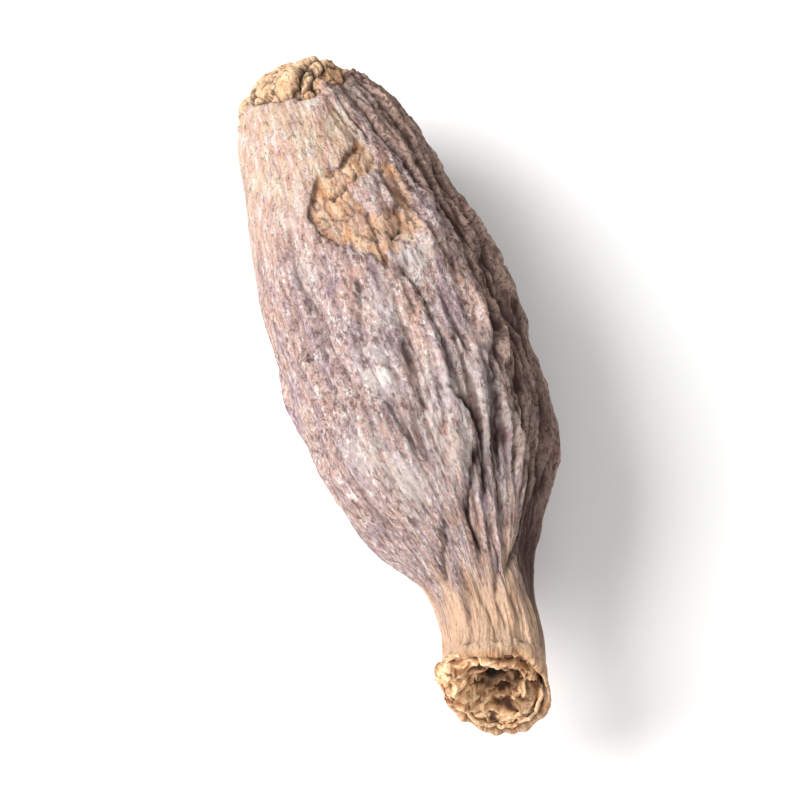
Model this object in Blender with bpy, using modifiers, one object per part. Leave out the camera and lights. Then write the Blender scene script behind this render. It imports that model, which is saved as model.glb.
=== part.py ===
"""Alligator pepper: one dried seed pod, lying on its belly.

The pod grew as one piece, the husk: a blunt egg that was torn from its stalk at one end, and at the
other narrows into the fluted neck that was the calyx. The neck ends in a torn mouth, and the
withered flower stands crumpled inside it.

Metres, +Z up. The neck points along +X, and the origin is the middle of the flat spot that the pod
rests on. A place on the skin is given by its distance along the pod from the stalk scar, and by its
turn round the pod's axis in degrees: 0 is the top, 90 is the +Y side and -90 the -Y side.
"""

import itertools
import math

import bmesh
import bpy
import numpy as np
from mathutils import Matrix, Vector

MM = 0.001

# Driving dimensions, in millimetres
HALF_WIDTH = 12.0
HEIGHT_SHARE = 0.94
REST_ALONG = 31.0
LIP_ALONG = 71.6
COLUMNS = 110
ROWS = 54
CROWDING = 0.25

# The husk's profile, from the scar over the body and the neck, round the lip and down into the
# mouth: the share of the mesh rows used so far, the distance along, and the half width.
PROFILE = np.array([
    (0.000, 0.00, 0.0), (0.022, 0.15, 2.9), (0.055, 1.30, 4.5), (0.105, 3.60, 6.6),
    (0.165, 7.20, 8.1), (0.235, 13.0, 9.6), (0.310, 20.0, 11.0), (0.370, 26.0, HALF_WIDTH),
    (0.450, 34.5, HALF_WIDTH), (0.515, 41.0, 11.6), (0.570, 46.5, 10.6), (0.615, 50.5, 9.1),
    (0.658, 54.2, 7.1), (0.697, 57.6, 5.4), (0.730, 61.0, 4.6), (0.775, 65.5, 4.7),
    (0.830, 69.6, 5.2), (0.870, LIP_ALONG, 5.2), (0.895, 71.8, 4.6), (0.930, 70.0, 3.9),
    (0.970, 67.0, 3.1), (1.000, 66.5, 0.0),
])
LIP_SHARE = 0.87

# The husk's centre line: distance along, offset to the side, and height above the floor
CENTRE = np.array([
    (0.0, -2.8, 10.7), (6.0, -2.0, 10.9), (12.0, -1.1, 11.0), (20.0, -0.5, 10.9),
    (30.0, 0.2, 10.8), (40.0, 0.9, 10.9), (48.0, 0.8, 11.3), (56.0, 1.0, 12.0),
    (62.0, 0.8, 12.5), (66.0, 0.4, 12.9), (69.0, -0.3, 13.3), (72.5, -1.3, 13.9),
])
LEAN_SPAN = 1.0

# Skin folds: lattice noise read with few cells along the pod and many round it
FOLD_LENGTH = 13.0
FOLDS_ROUND = 4.7
FOLD_DEPTH = 1.6
FOLD_MEAN = 0.4
SWERVE = 0.45
LUMP_SIZE = 8.0
LUMP_DEPTH = 0.5
SMOOTH_CHEEK_TURN = -50.0
SMOOTH_CHEEK_SHARE = 0.3
NECK_FOLD_SHARE = 0.4

# Creases that show best: depth, half width, and the places (along, turn) that they run through
CREASES = (
    (1.3, 0.8, ((28, 1), (33, 6), (36, 8.5), (39, 8), (42, 6), (43.5, 10), (46, 15), (50, 17), (54, 14))),
    (1.6, 0.9, ((48, 15), (51, 8), (54, 0), (56.5, -2), (60, 0))),
    (1.6, 1.0, ((23, 58), (28, 52), (32, 48), (36, 53), (38, 47), (42, 43), (46, 44), (50, 48),
                (54, 48), (57, 43), (59, 36), (61.5, 20))),
    (1.5, 1.0, ((36, 76), (41, 68), (46, 63), (50, 68), (55, 63), (58, 68))),
    (1.0, 0.8, ((26, 40), (31, 36), (35, 43), (38, 33), (41, 30), (46, 34), (52, 31))),
    (1.3, 0.8, ((59, 44), (62, 49), (66, 53), (70, 60))),
    (0.9, 0.8, ((54, -18), (57, -32), (60, -44))),
    (0.7, 0.8, ((4.5, 16), (9, 14), (14, 19), (20, 24), (27, 23))),
    (0.6, 0.8, ((20, -30), (26, -32), (30, -29), (35, -27))),
    (1.2, 0.8, ((4.2, -60), (4.8, -45), (5.2, -30), (5.6, -15), (6.3, 0), (5, 10))),
)
CREASE_FADE = 0.15
CREASE_STEPS = 3
FOLD_BESIDE = 0.35
HIDDEN_CREASES = 11
HIDDEN_TURNS = (94.0, 262.0)
HIDDEN_STEP = 4.5

# The patch by the scar where the outer skin has flaked off, and the scrap of skin left in it
FLAKED = ((11.5, 9), (14, 2), (16.3, -11), (16, -19), (20, -29.5), (23, -19), (26.5, -11), (28, 1),
          (25.5, 12), (20, 19), (17, 13))
SKIN_SCRAP = ((18, 2), (20.5, -3), (23.5, 0), (24, 7), (21, 11), (18.5, 8))
SKIN_THICKNESS = 0.5
EDGE_SOFTNESS = 0.35

# Torn ends: the stalk scar, the lip, and knobs of torn skin (along, turn, height, spreads)
SCAR_ALONG = 5.0
SCAR_ROUGHNESS = 1.2
SCAR_GRAIN = (1.5, 1.9)
LIP_RAGGED = 1.3
LIP_TEARS = 1.5
LIP_SLANT = 0.9
KNOBS = ((69.9, -84, 0.9, 1.5, 2.2), (1.7, 8, 1.2, 1.4, 1.7), (2.6, -50, 0.5, 1.4, 2.2))

# The withered flower: each crumpled layer's radius at its foot and tip, height, pleats and phase
LAYERS = ((2.05, 3.2, 5.2, 5, 0.4), (1.0, 1.75, 4.6, 3, 2.1))
LAYER_THICKNESS = 0.62
LAYER_COLUMNS = 30
LAYER_ROWS = 4
LAYER_PLEAT = 0.42
LAYER_TWIST = 1.5
LAYER_RAGGED = 0.14
LAYER_FOOT = 0.4
PLUG_FOOT_RADIUS = 2.0
PLUG_RADIUS = 2.4
PLUG_HEIGHT = 1.3
FLOWER_FOOT = 67.0

# Noise: the strides that mix a lattice corner's three numbers into one, and the gain to about 1
STRIDES = np.array([73856093, 19349663, 83492791])
SEED_STRIDE = 2654435761
NOISE_GAIN = 1.6

HUSK_BROWN = (0.42, 0.31, 0.27, 1.0)
DRY_STRAW = (0.60, 0.38, 0.24, 1.0)


def eased(at, knots, values):
    """A smooth curve through the values at the knots: a cubic between two neighbours, whose slopes
    are those of the knots around them."""
    slopes = np.gradient(values, knots)
    left = np.clip(np.searchsorted(knots, at, side="right") - 1, 0, len(knots) - 2)
    step = knots[left + 1] - knots[left]
    t = (at - knots[left]) / step
    start = (1 + 2 * t) * (1 - t) ** 2 * values[left] + t * (1 - t) ** 2 * step * slopes[left]
    return start + t * t * (3 - 2 * t) * values[left + 1] - t * t * (1 - t) * step * slopes[left + 1]


def ramp(value, low, high):
    """0 below low, 1 above high, and a smooth step between them."""
    t = np.clip((value - low) / (high - low), 0, 1)
    return t * t * (3 - 2 * t)


def bell(value, width):
    """1 at zero, falling smoothly to both sides."""
    return np.exp(-((value / width) ** 2))


def lattice_noise(points, seed):
    """Smooth noise from about -1 to 1: a random slope at each corner of a unit lattice, blended
    across every cell."""
    cell = np.floor(points).astype(np.int64)
    inside = points - cell
    blend = inside**3 * (inside * (inside * 6 - 15) + 10)
    total = np.zeros(len(points))
    for corner in itertools.product((0, 1), repeat=3):
        key = (cell + corner) @ STRIDES + seed * SEED_STRIDE
        key = (key ^ (key >> 13)) * 1274126177 & 0x7FFFFFFF
        slope = np.stack([(key >> shift & 255) / 127.5 - 1 for shift in (3, 11, 19)], axis=1)
        weight = np.where(np.array(corner) == 1, blend, 1 - blend).prod(axis=1)
        total += weight * ((inside - corner) * slope).sum(axis=1)
    return total * NOISE_GAIN


def on_tube(height, radius, turn):
    """Points on a tube of noise space, where the noise closes on itself round the pod."""
    return np.stack([height, radius * np.cos(turn), radius * np.sin(turn)], axis=1)


def wrapped(angle):
    """The same angle between -pi and pi."""
    return (angle + math.pi) % (2 * math.pi) - math.pi


def along_edge(here, start, end):
    """The distance from each place to a straight edge on the skin, and the share of the edge at
    which it is reached."""
    edge = end - start
    share = np.clip(((here - start) * edge).sum(axis=1) / (edge**2).sum(axis=1), 0, 1)
    return np.linalg.norm(here - start - share[:, None] * edge, axis=1), share


def unrolled(along, turn, half_width, places):
    """The skin round a set of places laid flat: every place on it, and the set's own corners, in
    millimetres along and round the pod."""
    middle = math.radians(sum(degrees for _, degrees in places) / len(places))
    here = np.stack([along, wrapped(turn - middle) * half_width], axis=1)
    rounds = [(math.radians(degrees) - middle) * half_width for _, degrees in places]
    return here, [np.stack([np.full_like(along, x), y], axis=1) for (x, _), y in zip(places, rounds)]


def smooth_path(places):
    """A path of more, closer places on a smooth curve through the given ones."""
    knots = np.arange(len(places), dtype=float)
    steps = np.linspace(0, len(places) - 1, CREASE_STEPS * (len(places) - 1) + 1)
    given = np.array(places, float)
    return list(zip(eased(steps, knots, given[:, 0]), eased(steps, knots, given[:, 1])))


def crease(along, turn, half_width, depth, width, places):
    """A V groove along a smooth path, with a low fold of skin pushed up beside it. It is deepest in
    its middle and fades out towards both ends."""
    here, corners = unrolled(along, turn, half_width, smooth_path(places))
    gap = np.full(len(along), np.inf)
    reached = np.zeros(len(along))
    for number, (start, end) in enumerate(zip(corners, corners[1:])):
        distance, share = along_edge(here, start, end)
        reached = np.where(distance < gap, (number + share) / (len(corners) - 1), reached)
        gap = np.minimum(gap, distance)
    strength = ramp(reached, 0, CREASE_FADE) * (1 - ramp(reached, 1 - CREASE_FADE, 1))
    return depth * strength * (FOLD_BESIDE * bell(gap - 2.2 * width, 1.4 * width) - np.exp(-gap / width))


def hidden_creases():
    """Creases like the visible ones for the belly and the far side, drawn with a fixed seed."""
    draw = np.random.default_rng(17)
    low, high = HIDDEN_TURNS
    found = []
    for number in range(HIDDEN_CREASES):
        turn = low + (high - low) * (number + draw.uniform(-0.3, 0.3)) / HIDDEN_CREASES
        start = draw.uniform(5, 30)
        stations = np.arange(start, min(start + draw.uniform(20, 38), 62), HIDDEN_STEP)
        places = tuple((along, turn + draw.uniform(-6, 6)) for along in stations)
        found.append((draw.uniform(0.8, 1.5), draw.uniform(0.8, 1.0), places))
    return tuple(found)


def inside_outline(along, turn, half_width, outline):
    """How far each place lies inside a closed outline on the skin, in millimetres: below 0 outside."""
    here, corners = unrolled(along, turn, half_width, outline)
    nearest = np.full(len(along), np.inf)
    within = np.zeros(len(along), bool)
    for start, end in zip(corners, corners[1:] + corners[:1]):
        nearest = np.minimum(nearest, along_edge(here, start, end)[0])
        crosses = (start[:, 1] > here[:, 1]) != (end[:, 1] > here[:, 1])
        rise = np.where(crosses, end[:, 1] - start[:, 1], 1)
        reach = start[:, 0] + (end[:, 0] - start[:, 0]) * (here[:, 1] - start[:, 1]) / rise
        within ^= crosses & (here[:, 0] < reach)
    return np.where(within, nearest, -nearest)


def skin_relief(along, turn, half_width):
    """How far the dried skin stands out from the smooth form, in millimetres."""
    lumps = LUMP_DEPTH * lattice_noise(on_tube(along / LUMP_SIZE, HALF_WIDTH / LUMP_SIZE, turn), 1)
    place = on_tube(along / FOLD_LENGTH, FOLDS_ROUND, turn)
    swerve = np.stack([lattice_noise(place * 1.3 + 17 * axis, 2 + axis) for axis in range(3)], axis=1)
    folds = FOLD_DEPTH * (np.abs(lattice_noise(place + SWERVE * swerve, 6)) - FOLD_MEAN)
    cheek = ramp(np.cos(turn - math.radians(SMOOTH_CHEEK_TURN)), 0.2, 0.8) * (1 - ramp(along, 18, 44))
    strength = 1 - (1 - SMOOTH_CHEEK_SHARE) * cheek
    resting = ramp(-np.cos(turn), 0.8, 0.95) * (1 - ramp(np.abs(along - REST_ALONG), 8, 16))
    slender = NECK_FOLD_SHARE + (1 - NECK_FOLD_SHARE) * half_width / HALF_WIDTH
    relief = lumps + strength * (1 - 0.8 * resting) * slender * folds
    for depth, width, places in CREASES + hidden_creases():
        relief += (1 - resting) * slender * crease(along, turn, half_width, depth, width, places)
    flaked = ramp(inside_outline(along, turn, half_width, FLAKED), -EDGE_SOFTNESS, EDGE_SOFTNESS)
    scrap = ramp(inside_outline(along, turn, half_width, SKIN_SCRAP), -EDGE_SOFTNESS, EDGE_SOFTNESS)
    return relief - SKIN_THICKNESS * flaked * (1 - scrap)


def end_relief(along, turn, half_width, share):
    """The lumps of the torn stalk scar, and the knobs of torn skin at both ends."""
    grain_along, grain_round = SCAR_GRAIN
    lumps = lattice_noise(on_tube(along / grain_along, half_width / grain_round, turn), 9)
    relief = (1 - ramp(along, SCAR_ALONG - 2.5, SCAR_ALONG)) * SCAR_ROUGHNESS * lumps
    outside = 1 - ramp(share, LIP_SHARE, LIP_SHARE + 0.04)
    for at, side, height, spread_along, spread_round in KNOBS:
        round_gap = wrapped(turn - math.radians(side)) * half_width
        relief += outside * height * bell(along - at, spread_along) * bell(round_gap, spread_round)
    return relief


def husk_surface(share, turn):
    """The husk's surface in metres, for arrays of the share of the rows and the turn in radians."""
    along = eased(share, PROFILE[:, 0], PROFILE[:, 1])
    half_width = np.maximum(eased(share, PROFILE[:, 0], PROFILE[:, 2]), 0)
    skin = (1 - ramp(share, LIP_SHARE - 0.02, LIP_SHARE + 0.01)) * ramp(along, 1.5, SCAR_ALONG)
    relief = skin * skin_relief(along, turn, half_width) + end_relief(along, turn, half_width, share)
    reach = half_width + relief * ramp(half_width, 0, 1)
    tears = lattice_noise(on_tube(np.zeros_like(turn), LIP_TEARS, turn), 12)
    torn = ramp(along, LIP_ALONG - 5, LIP_ALONG) * (LIP_RAGGED * tears - LIP_SLANT * np.cos(turn))
    return on_centre_line(along + torn, reach * np.sin(turn), reach * HEIGHT_SHARE * np.cos(turn))


def centre_line(along):
    """The centre line's offset to the side and height at a distance along, in millimetres."""
    return eased(along, CENTRE[:, 0], CENTRE[:, 1]), eased(along, CENTRE[:, 0], CENTRE[:, 2])


def on_centre_line(along, out, up):
    """Places measured from the centre line, in sections square to it, as points in metres. What
    would reach below the floor is pressed flat on it."""
    side, height = centre_line(along)
    side_after, height_after = centre_line(along + LEAN_SPAN / 2)
    side_before, height_before = centre_line(along - LEAN_SPAN / 2)
    lean_side = (side_after - side_before) / LEAN_SPAN
    lean_up = (height_after - height_before) / LEAN_SPAN
    x = along - REST_ALONG - lean_side * out - lean_up * up
    return np.stack([x, side + out, np.maximum(height + up, 0)], axis=-1) * MM


def material(name, colour, roughness):
    """A plain Principled material."""
    made = bpy.data.materials.new(name)
    made.use_nodes = True
    shader = made.node_tree.nodes["Principled BSDF"]
    shader.inputs["Base Color"].default_value = colour
    shader.inputs["Roughness"].default_value = roughness
    return made


def new_object(name, bm, collection):
    """An object made from a bmesh, which is freed."""
    mesh = bpy.data.meshes.new(name)
    bm.to_mesh(mesh)
    bm.free()
    made = bpy.data.objects.new(name, mesh)
    collection.objects.link(made)
    return made


def make_husk(collection):
    """The husk: a sphere whose rows and columns are laid over the pod's surface. The columns crowd
    towards the top, where the creases show."""
    bm = bmesh.new()
    bmesh.ops.create_uvsphere(bm, u_segments=COLUMNS, v_segments=ROWS, radius=1)
    ball = np.array([vert.co for vert in bm.verts])
    share = np.arccos(np.clip(ball[:, 2], -1, 1)) / math.pi
    turn = np.arctan2(ball[:, 1], ball[:, 0])
    places = husk_surface(share, turn - CROWDING * np.sin(turn))
    for vert, place in zip(bm.verts, places):
        vert.co = place
    return new_object("husk", bm, collection)


def make_layer(number, foot, tip, height, pleats, phase, collection):
    """One crumpled layer of the flower: an open tube that is pleated, flares and ends ragged, and
    gets its thickness from Solidify."""
    bm = bmesh.new()
    bmesh.ops.create_cone(bm, cap_ends=False, segments=LAYER_COLUMNS, radius1=1, radius2=1, depth=1)
    upright = [e for e in bm.edges if abs(e.verts[0].co.z - e.verts[1].co.z) > 0.5]
    bmesh.ops.subdivide_edges(bm, edges=upright, cuts=LAYER_ROWS - 1, use_grid_fill=True)
    tube = np.array([vert.co for vert in bm.verts])
    turn, rise = np.arctan2(tube[:, 1], tube[:, 0]), tube[:, 2] + 0.5
    pleat = LAYER_PLEAT * rise * np.sin(pleats * turn + phase + LAYER_TWIST * rise)
    reach = foot + (tip - foot) * rise + pleat
    ragged = LAYER_RAGGED * (np.sin(2 * turn + phase) + 0.6 * np.sin(5 * turn))
    up = LAYER_FOOT + rise * height * (1 + ragged)
    places = np.stack([reach * np.cos(turn), reach * np.sin(turn), up], axis=1) * MM
    for vert, place in zip(bm.verts, places):
        vert.co = place
    made = new_object(f"flower_layer_{number}", bm, collection)
    wall = made.modifiers.new("wall", "SOLIDIFY")
    wall.thickness = LAYER_THICKNESS * MM
    wall.offset = 0


def mouth_frame():
    """The flower's place: its foot near the mouth's floor, and its axis along the centre line."""
    stations = np.array([FLOWER_FOOT, FLOWER_FOOT + 3.0])
    foot, ahead = on_centre_line(stations, np.zeros(2), np.zeros(2))
    axis = Vector(ahead - foot).normalized()
    return Matrix.Translation(foot) @ axis.to_track_quat("Z", "X").to_matrix().to_4x4()


def make_flower(collection, helpers):
    """The withered flower: crumpled layers rooted in one plug, joined, and stood in the mouth."""
    bm = bmesh.new()
    bmesh.ops.create_cone(
        bm, cap_ends=True, segments=LAYER_COLUMNS, radius1=PLUG_FOOT_RADIUS * MM,
        radius2=PLUG_RADIUS * MM, depth=PLUG_HEIGHT * MM,
        matrix=Matrix.Translation((0, 0, PLUG_HEIGHT * MM / 2)),
    )
    plug = new_object("flower_plug", bm, collection)
    layers = bpy.data.collections.new("flower_layers")
    helpers.children.link(layers)
    for number, sizes in enumerate(LAYERS):
        make_layer(number, *sizes, layers)
    join = plug.modifiers.new("join", "BOOLEAN")
    join.operation = "UNION"
    join.operand_type = "COLLECTION"
    join.collection = layers
    graph = bpy.context.evaluated_depsgraph_get()
    mesh = bpy.data.meshes.new_from_object(plug.evaluated_get(graph))
    mesh.transform(mouth_frame())
    for used in [plug, *layers.objects]:
        bpy.data.objects.remove(used)
    bpy.data.collections.remove(layers)
    flower = bpy.data.objects.new("withered_flower", mesh)
    collection.objects.link(flower)
    return flower


def finish(made, name, colour, roughness):
    """A piece's material and smooth shading."""
    made.data.name = name
    made.data.materials.clear()
    made.data.materials.append(material(name, colour, roughness))
    made.data.shade_smooth()


def main():
    """Clears the scene and builds the pod."""
    for old in list(bpy.data.objects):
        bpy.data.objects.remove(old)
    pod = bpy.data.collections.new("alligator_pepper")
    helpers = bpy.data.collections.new("helpers")
    for collection in (pod, helpers):
        bpy.context.scene.collection.children.link(collection)
    finish(make_husk(pod), "husk", HUSK_BROWN, 0.8)
    finish(make_flower(pod, helpers), "withered_flower", DRY_STRAW, 0.75)


if __name__ == "__main__":
    main()
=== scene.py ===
"""Alligator pepper: the looks of one dried seed pod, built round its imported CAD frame.

The husk is one fine surface: the same smooth form, folds and creases as the CAD solid, with the skin's
wrinkles, its flaked patch, the cracked stalk scar and the torn lip worked out over it. Crumpled tissue
and thin sheets fill the mouth in place of the CAD's withered flower.

A place on the skin is given by its distance along the pod from the stalk scar, in millimetres, and by
its turn round the pod's axis: 0 is the top, positive towards +Y. Sizes are in millimetres until a
piece's points are put into its mesh.
"""

import itertools
import logging
import math
from dataclasses import dataclass, field
from enum import Enum

import bpy
import numpy as np
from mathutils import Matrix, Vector


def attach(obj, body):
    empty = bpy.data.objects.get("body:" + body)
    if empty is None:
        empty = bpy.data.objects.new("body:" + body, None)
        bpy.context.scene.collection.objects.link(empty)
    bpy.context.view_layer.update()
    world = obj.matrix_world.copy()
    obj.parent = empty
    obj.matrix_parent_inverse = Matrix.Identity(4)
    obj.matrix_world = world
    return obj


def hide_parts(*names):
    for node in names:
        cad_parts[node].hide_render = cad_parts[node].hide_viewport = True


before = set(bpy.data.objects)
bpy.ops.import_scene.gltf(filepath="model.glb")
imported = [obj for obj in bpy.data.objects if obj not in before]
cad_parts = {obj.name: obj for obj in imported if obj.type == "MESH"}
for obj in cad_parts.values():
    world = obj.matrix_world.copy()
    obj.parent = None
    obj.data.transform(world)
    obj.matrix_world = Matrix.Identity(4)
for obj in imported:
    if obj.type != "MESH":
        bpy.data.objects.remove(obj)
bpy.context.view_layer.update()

LOG = logging.getLogger("alligator_pepper")
MM = 0.001
Colour = tuple[float, float, float, float]
Places = tuple[tuple[float, float], ...]
Layer = tuple[Colour, bpy.types.NodeSocket, float, float, float]


def display(red: int, green: int, blue: int) -> Colour:
    """A colour as it looks on a screen, from 0 to 255, as the linear colour and alpha that shaders mix."""
    linear = [((c / 255 + 0.055) / 1.055) ** 2.4 for c in (red, green, blue)]
    return (linear[0], linear[1], linear[2], 1.0)


def ramp(value: np.ndarray, low: float | np.ndarray, high: float | np.ndarray) -> np.ndarray:
    """A smooth step: t squared times (3 - 2t), where t runs from 0 at low to 1 at high."""
    t = np.clip((value - low) / (high - low), 0, 1)
    return t * t * (3 - 2 * t)


def bell(value: np.ndarray, width: float) -> np.ndarray:
    """A bell: e to the minus square of value over width."""
    return np.exp(-((value / width) ** 2))


def eased(at: np.ndarray, knots: np.ndarray, values: np.ndarray) -> np.ndarray:
    """A smooth curve through the values at the knots: between two neighbours a cubic whose end
    slopes are those of the knots around them.

    Args:
        at: Where to read the curve.
        knots: The places whose values are given, rising.
        values: The value at each knot.

    Returns:
        The curve's height at each place.
    """
    slopes = np.gradient(values, knots)
    left = np.clip(np.searchsorted(knots, at, side="right") - 1, 0, len(knots) - 2)
    step = knots[left + 1] - knots[left]
    t = (at - knots[left]) / step
    start = (1 + 2 * t) * (1 - t) ** 2 * values[left] + t * (1 - t) ** 2 * step * slopes[left]
    return start + t * t * (3 - 2 * t) * values[left + 1] - t * t * (1 - t) * step * slopes[left + 1]


def wrapped(angle: np.ndarray) -> np.ndarray:
    """The same angle between -pi and pi."""
    return (angle + math.pi) % (2 * math.pi) - math.pi


@dataclass(frozen=True)
class LatticeNoise:
    """Smooth noise from about -1 to 1: a random slope at each corner of a unit lattice, blended
    across every cell with the quintic 6t^5 - 15t^4 + 10t^3."""

    strides: tuple[int, int, int] = (73856093, 19349663, 83492791)
    seed_stride: int = 2654435761
    mixer: int = 1274126177
    gain: float = 1.6
    push_scale: float = 1.3
    jitter: float = 0.45

    def corners(self, cell: np.ndarray, seed: int) -> np.ndarray:
        """Three random numbers from -1 to 1 for each lattice corner, by hashing its whole numbers.

        Args:
            cell: Rows of three whole numbers.
            seed: Picks one of many unlike fields.

        Returns:
            One row of three for each corner.
        """
        key = cell @ np.array(self.strides) + seed * self.seed_stride
        key = (key ^ (key >> 13)) * self.mixer & 0x7FFFFFFF
        return np.stack([(key >> shift & 255) / 127.5 - 1 for shift in (3, 11, 19)], axis=1)

    def blocks(self, points: np.ndarray, seed: int) -> tuple[np.ndarray, np.ndarray]:
        """Angular blocks: every lattice cell has a random centre, and a point belongs to the nearest.

        Args:
            points: Rows of three numbers, in lattice cells.
            seed: Picks one of many unlike fields.

        Returns:
            How much farther the second nearest centre is, which is 0 on a joint, and the block's own
            random number from -1 to 1.
        """
        cell = np.floor(points).astype(np.int64)
        nearest, second = np.full(len(points), np.inf), np.full(len(points), np.inf)
        level = np.zeros(len(points))
        for step in itertools.product((-1, 0, 1), repeat=3):
            random = self.corners(cell + step, seed)
            distance = np.linalg.norm(points - cell - step - 0.5 - self.jitter * random, axis=1)
            level = np.where(distance < nearest, self.corners(cell + step, seed + 1)[:, 0], level)
            second = np.minimum(second, np.maximum(nearest, distance))
            nearest = np.minimum(nearest, distance)
        return second - nearest, level

    def read(self, points: np.ndarray, seed: int) -> np.ndarray:
        """The noise at each point.

        Args:
            points: Rows of three numbers, in lattice cells.
            seed: Picks one of many unlike fields.

        Returns:
            One value for each point.
        """
        cell = np.floor(points).astype(np.int64)
        inside = points - cell
        blend = inside**3 * (inside * (inside * 6 - 15) + 10)
        total = np.zeros(len(points))
        for corner in itertools.product((0, 1), repeat=3):
            weight = np.where(np.array(corner) == 1, blend, 1 - blend).prod(axis=1)
            total += weight * ((inside - corner) * self.corners(cell + corner, seed)).sum(axis=1)
        return total * self.gain

    def swerve(self, points: np.ndarray, seed: int, amount: float) -> np.ndarray:
        """The same points pushed about by three slower noises, so that what is read there wanders.

        Args:
            points: Rows of three numbers, in lattice cells.
            seed: The first of the three noises' seeds.
            amount: The push, in cells.

        Returns:
            The pushed points.
        """
        pushes = [self.read(points * self.push_scale + 17 * axis, seed + axis) for axis in range(3)]
        return points + amount * np.stack(pushes, axis=1)

    def wander(self, points: np.ndarray, amount: float, pushing: int, seed: int) -> np.ndarray:
        """The noise read at points that three other noises, from the pushing seed on, have pushed."""
        return self.read(self.swerve(points, pushing, amount), seed)


NOISE = LatticeNoise()


class Raised(Enum):
    """Which side of a crease stands proud: neither, or the one of the lower or higher turn."""

    NEITHER = 0
    LOWER = -1
    HIGHER = 1


@dataclass(frozen=True)
class Crease:
    """A groove along a path on the skin, with its depth, its half width, its raised side and the
    painted shadow at its bottom."""

    depth: float
    width: float
    places: Places
    raised: Raised = Raised.LOWER
    # How strong the painted shadow at the crease's bottom is.
    painted_groove_shadow: float = 1.0


@dataclass
class Skin:
    """Arrays of places on the skin, and what can be read there.

    Attributes:
        along: Distance along the pod from the scar.
        turn: Turn round the axis, in radians.
        half_width: The smooth form's half width there.
    """

    along: np.ndarray
    turn: np.ndarray
    half_width: np.ndarray

    def tube(self, length: float, cells: float) -> np.ndarray:
        """The places on a tube of noise space, where noise closes on itself round the pod: along over
        length, then cells times the cosine and the sine of the turn."""
        return np.stack([self.along / length, cells * np.cos(self.turn), cells * np.sin(self.turn)], axis=1)

    def near(self, places: Places, reach: float) -> np.ndarray:
        """The numbers of the places within reach of a path's or outline's box.

        Args:
            places: The path's or outline's corners.
            reach: How far outside its box still counts.

        Returns:
            Indices into the arrays.
        """
        given = np.array(places, float)
        middle = math.radians(given[:, 1].mean())
        spread = np.radians(given[:, 1] - given[:, 1].mean())
        arc = wrapped(self.turn - middle)
        low = spread.min() * self.half_width - reach
        high = spread.max() * self.half_width + reach
        inside = (self.along > given[:, 0].min() - reach) & (self.along < given[:, 0].max() + reach)
        return np.flatnonzero(inside & (arc * self.half_width > low) & (arc * self.half_width < high))

    def picked(self, chosen: np.ndarray) -> "Skin":
        """The skin at some of the places only."""
        return Skin(self.along[chosen], self.turn[chosen], self.half_width[chosen])

    def unrolled(self, places: Places) -> tuple[np.ndarray, list[np.ndarray]]:
        """The skin round a set of places laid flat.

        Args:
            places: The set's corners, as distance along and turn in degrees.

        Returns:
            Every place of the skin, and every corner, in millimetres along and round the pod.
        """
        middle = math.radians(sum(degrees for _, degrees in places) / len(places))
        here = np.stack([self.along, wrapped(self.turn - middle) * self.half_width], axis=1)
        rounds = [(math.radians(degrees) - middle) * self.half_width for _, degrees in places]
        corners = [np.stack([np.full_like(self.along, x), y], axis=1) for (x, _), y in zip(places, rounds)]
        return here, corners

    def path_gap(self, places: Places) -> tuple[np.ndarray, np.ndarray]:
        """The signed distance to a path, and how far along it the nearest point lies.

        Args:
            places: The path's corners.

        Returns:
            The distance, positive on the side of the higher turn, and the share of the path.
        """
        here, corners = self.unrolled(places)
        gap = np.full(len(self.along), np.inf)
        side = np.ones(len(self.along))
        reached = np.zeros(len(self.along))
        for number, (start, end) in enumerate(zip(corners, corners[1:])):
            edge = end - start
            share = np.clip(((here - start) * edge).sum(axis=1) / (edge**2).sum(axis=1), 0, 1)
            distance = np.linalg.norm(here - start - share[:, None] * edge, axis=1)
            closer = distance < gap
            turned = edge[:, 0] * (here - start)[:, 1] - edge[:, 1] * (here - start)[:, 0]
            side = np.where(closer, np.where(turned < 0, -1, 1), side)
            reached = np.where(closer, (number + share) / (len(corners) - 1), reached)
            gap = np.where(closer, distance, gap)
        return gap * side, reached

    def inside(self, outline: Places) -> np.ndarray:
        """How far each place lies inside a closed outline, by the even-odd rule.

        Args:
            outline: The outline's corners.

        Returns:
            The distance to the outline, below 0 outside it.
        """
        here, corners = self.unrolled(outline)
        nearest = np.full(len(self.along), np.inf)
        within = np.zeros(len(self.along), bool)
        for start, end in zip(corners, corners[1:] + corners[:1]):
            edge = end - start
            share = np.clip(((here - start) * edge).sum(axis=1) / (edge**2).sum(axis=1), 0, 1)
            nearest = np.minimum(nearest, np.linalg.norm(here - start - share[:, None] * edge, axis=1))
            crosses = (start[:, 1] > here[:, 1]) != (end[:, 1] > here[:, 1])
            rise = np.where(crosses, edge[:, 1], 1)
            reach = start[:, 0] + edge[:, 0] * (here[:, 1] - start[:, 1]) / rise
            within ^= crosses & (here[:, 0] < reach)
        return np.where(within, nearest, -nearest)


def smooth_path(places: Places, steps: int) -> Places:
    """A path of closer places on a smooth curve through the given ones.

    Args:
        places: The given places.
        steps: How many new places there are for each given one.

    Returns:
        The closer places.
    """
    knots = np.arange(len(places), dtype=float)
    at = np.linspace(0, len(places) - 1, steps * (len(places) - 1) + 1)
    given = np.array(places, float)
    return tuple(zip(eased(at, knots, given[:, 0]), eased(at, knots, given[:, 1])))


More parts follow.
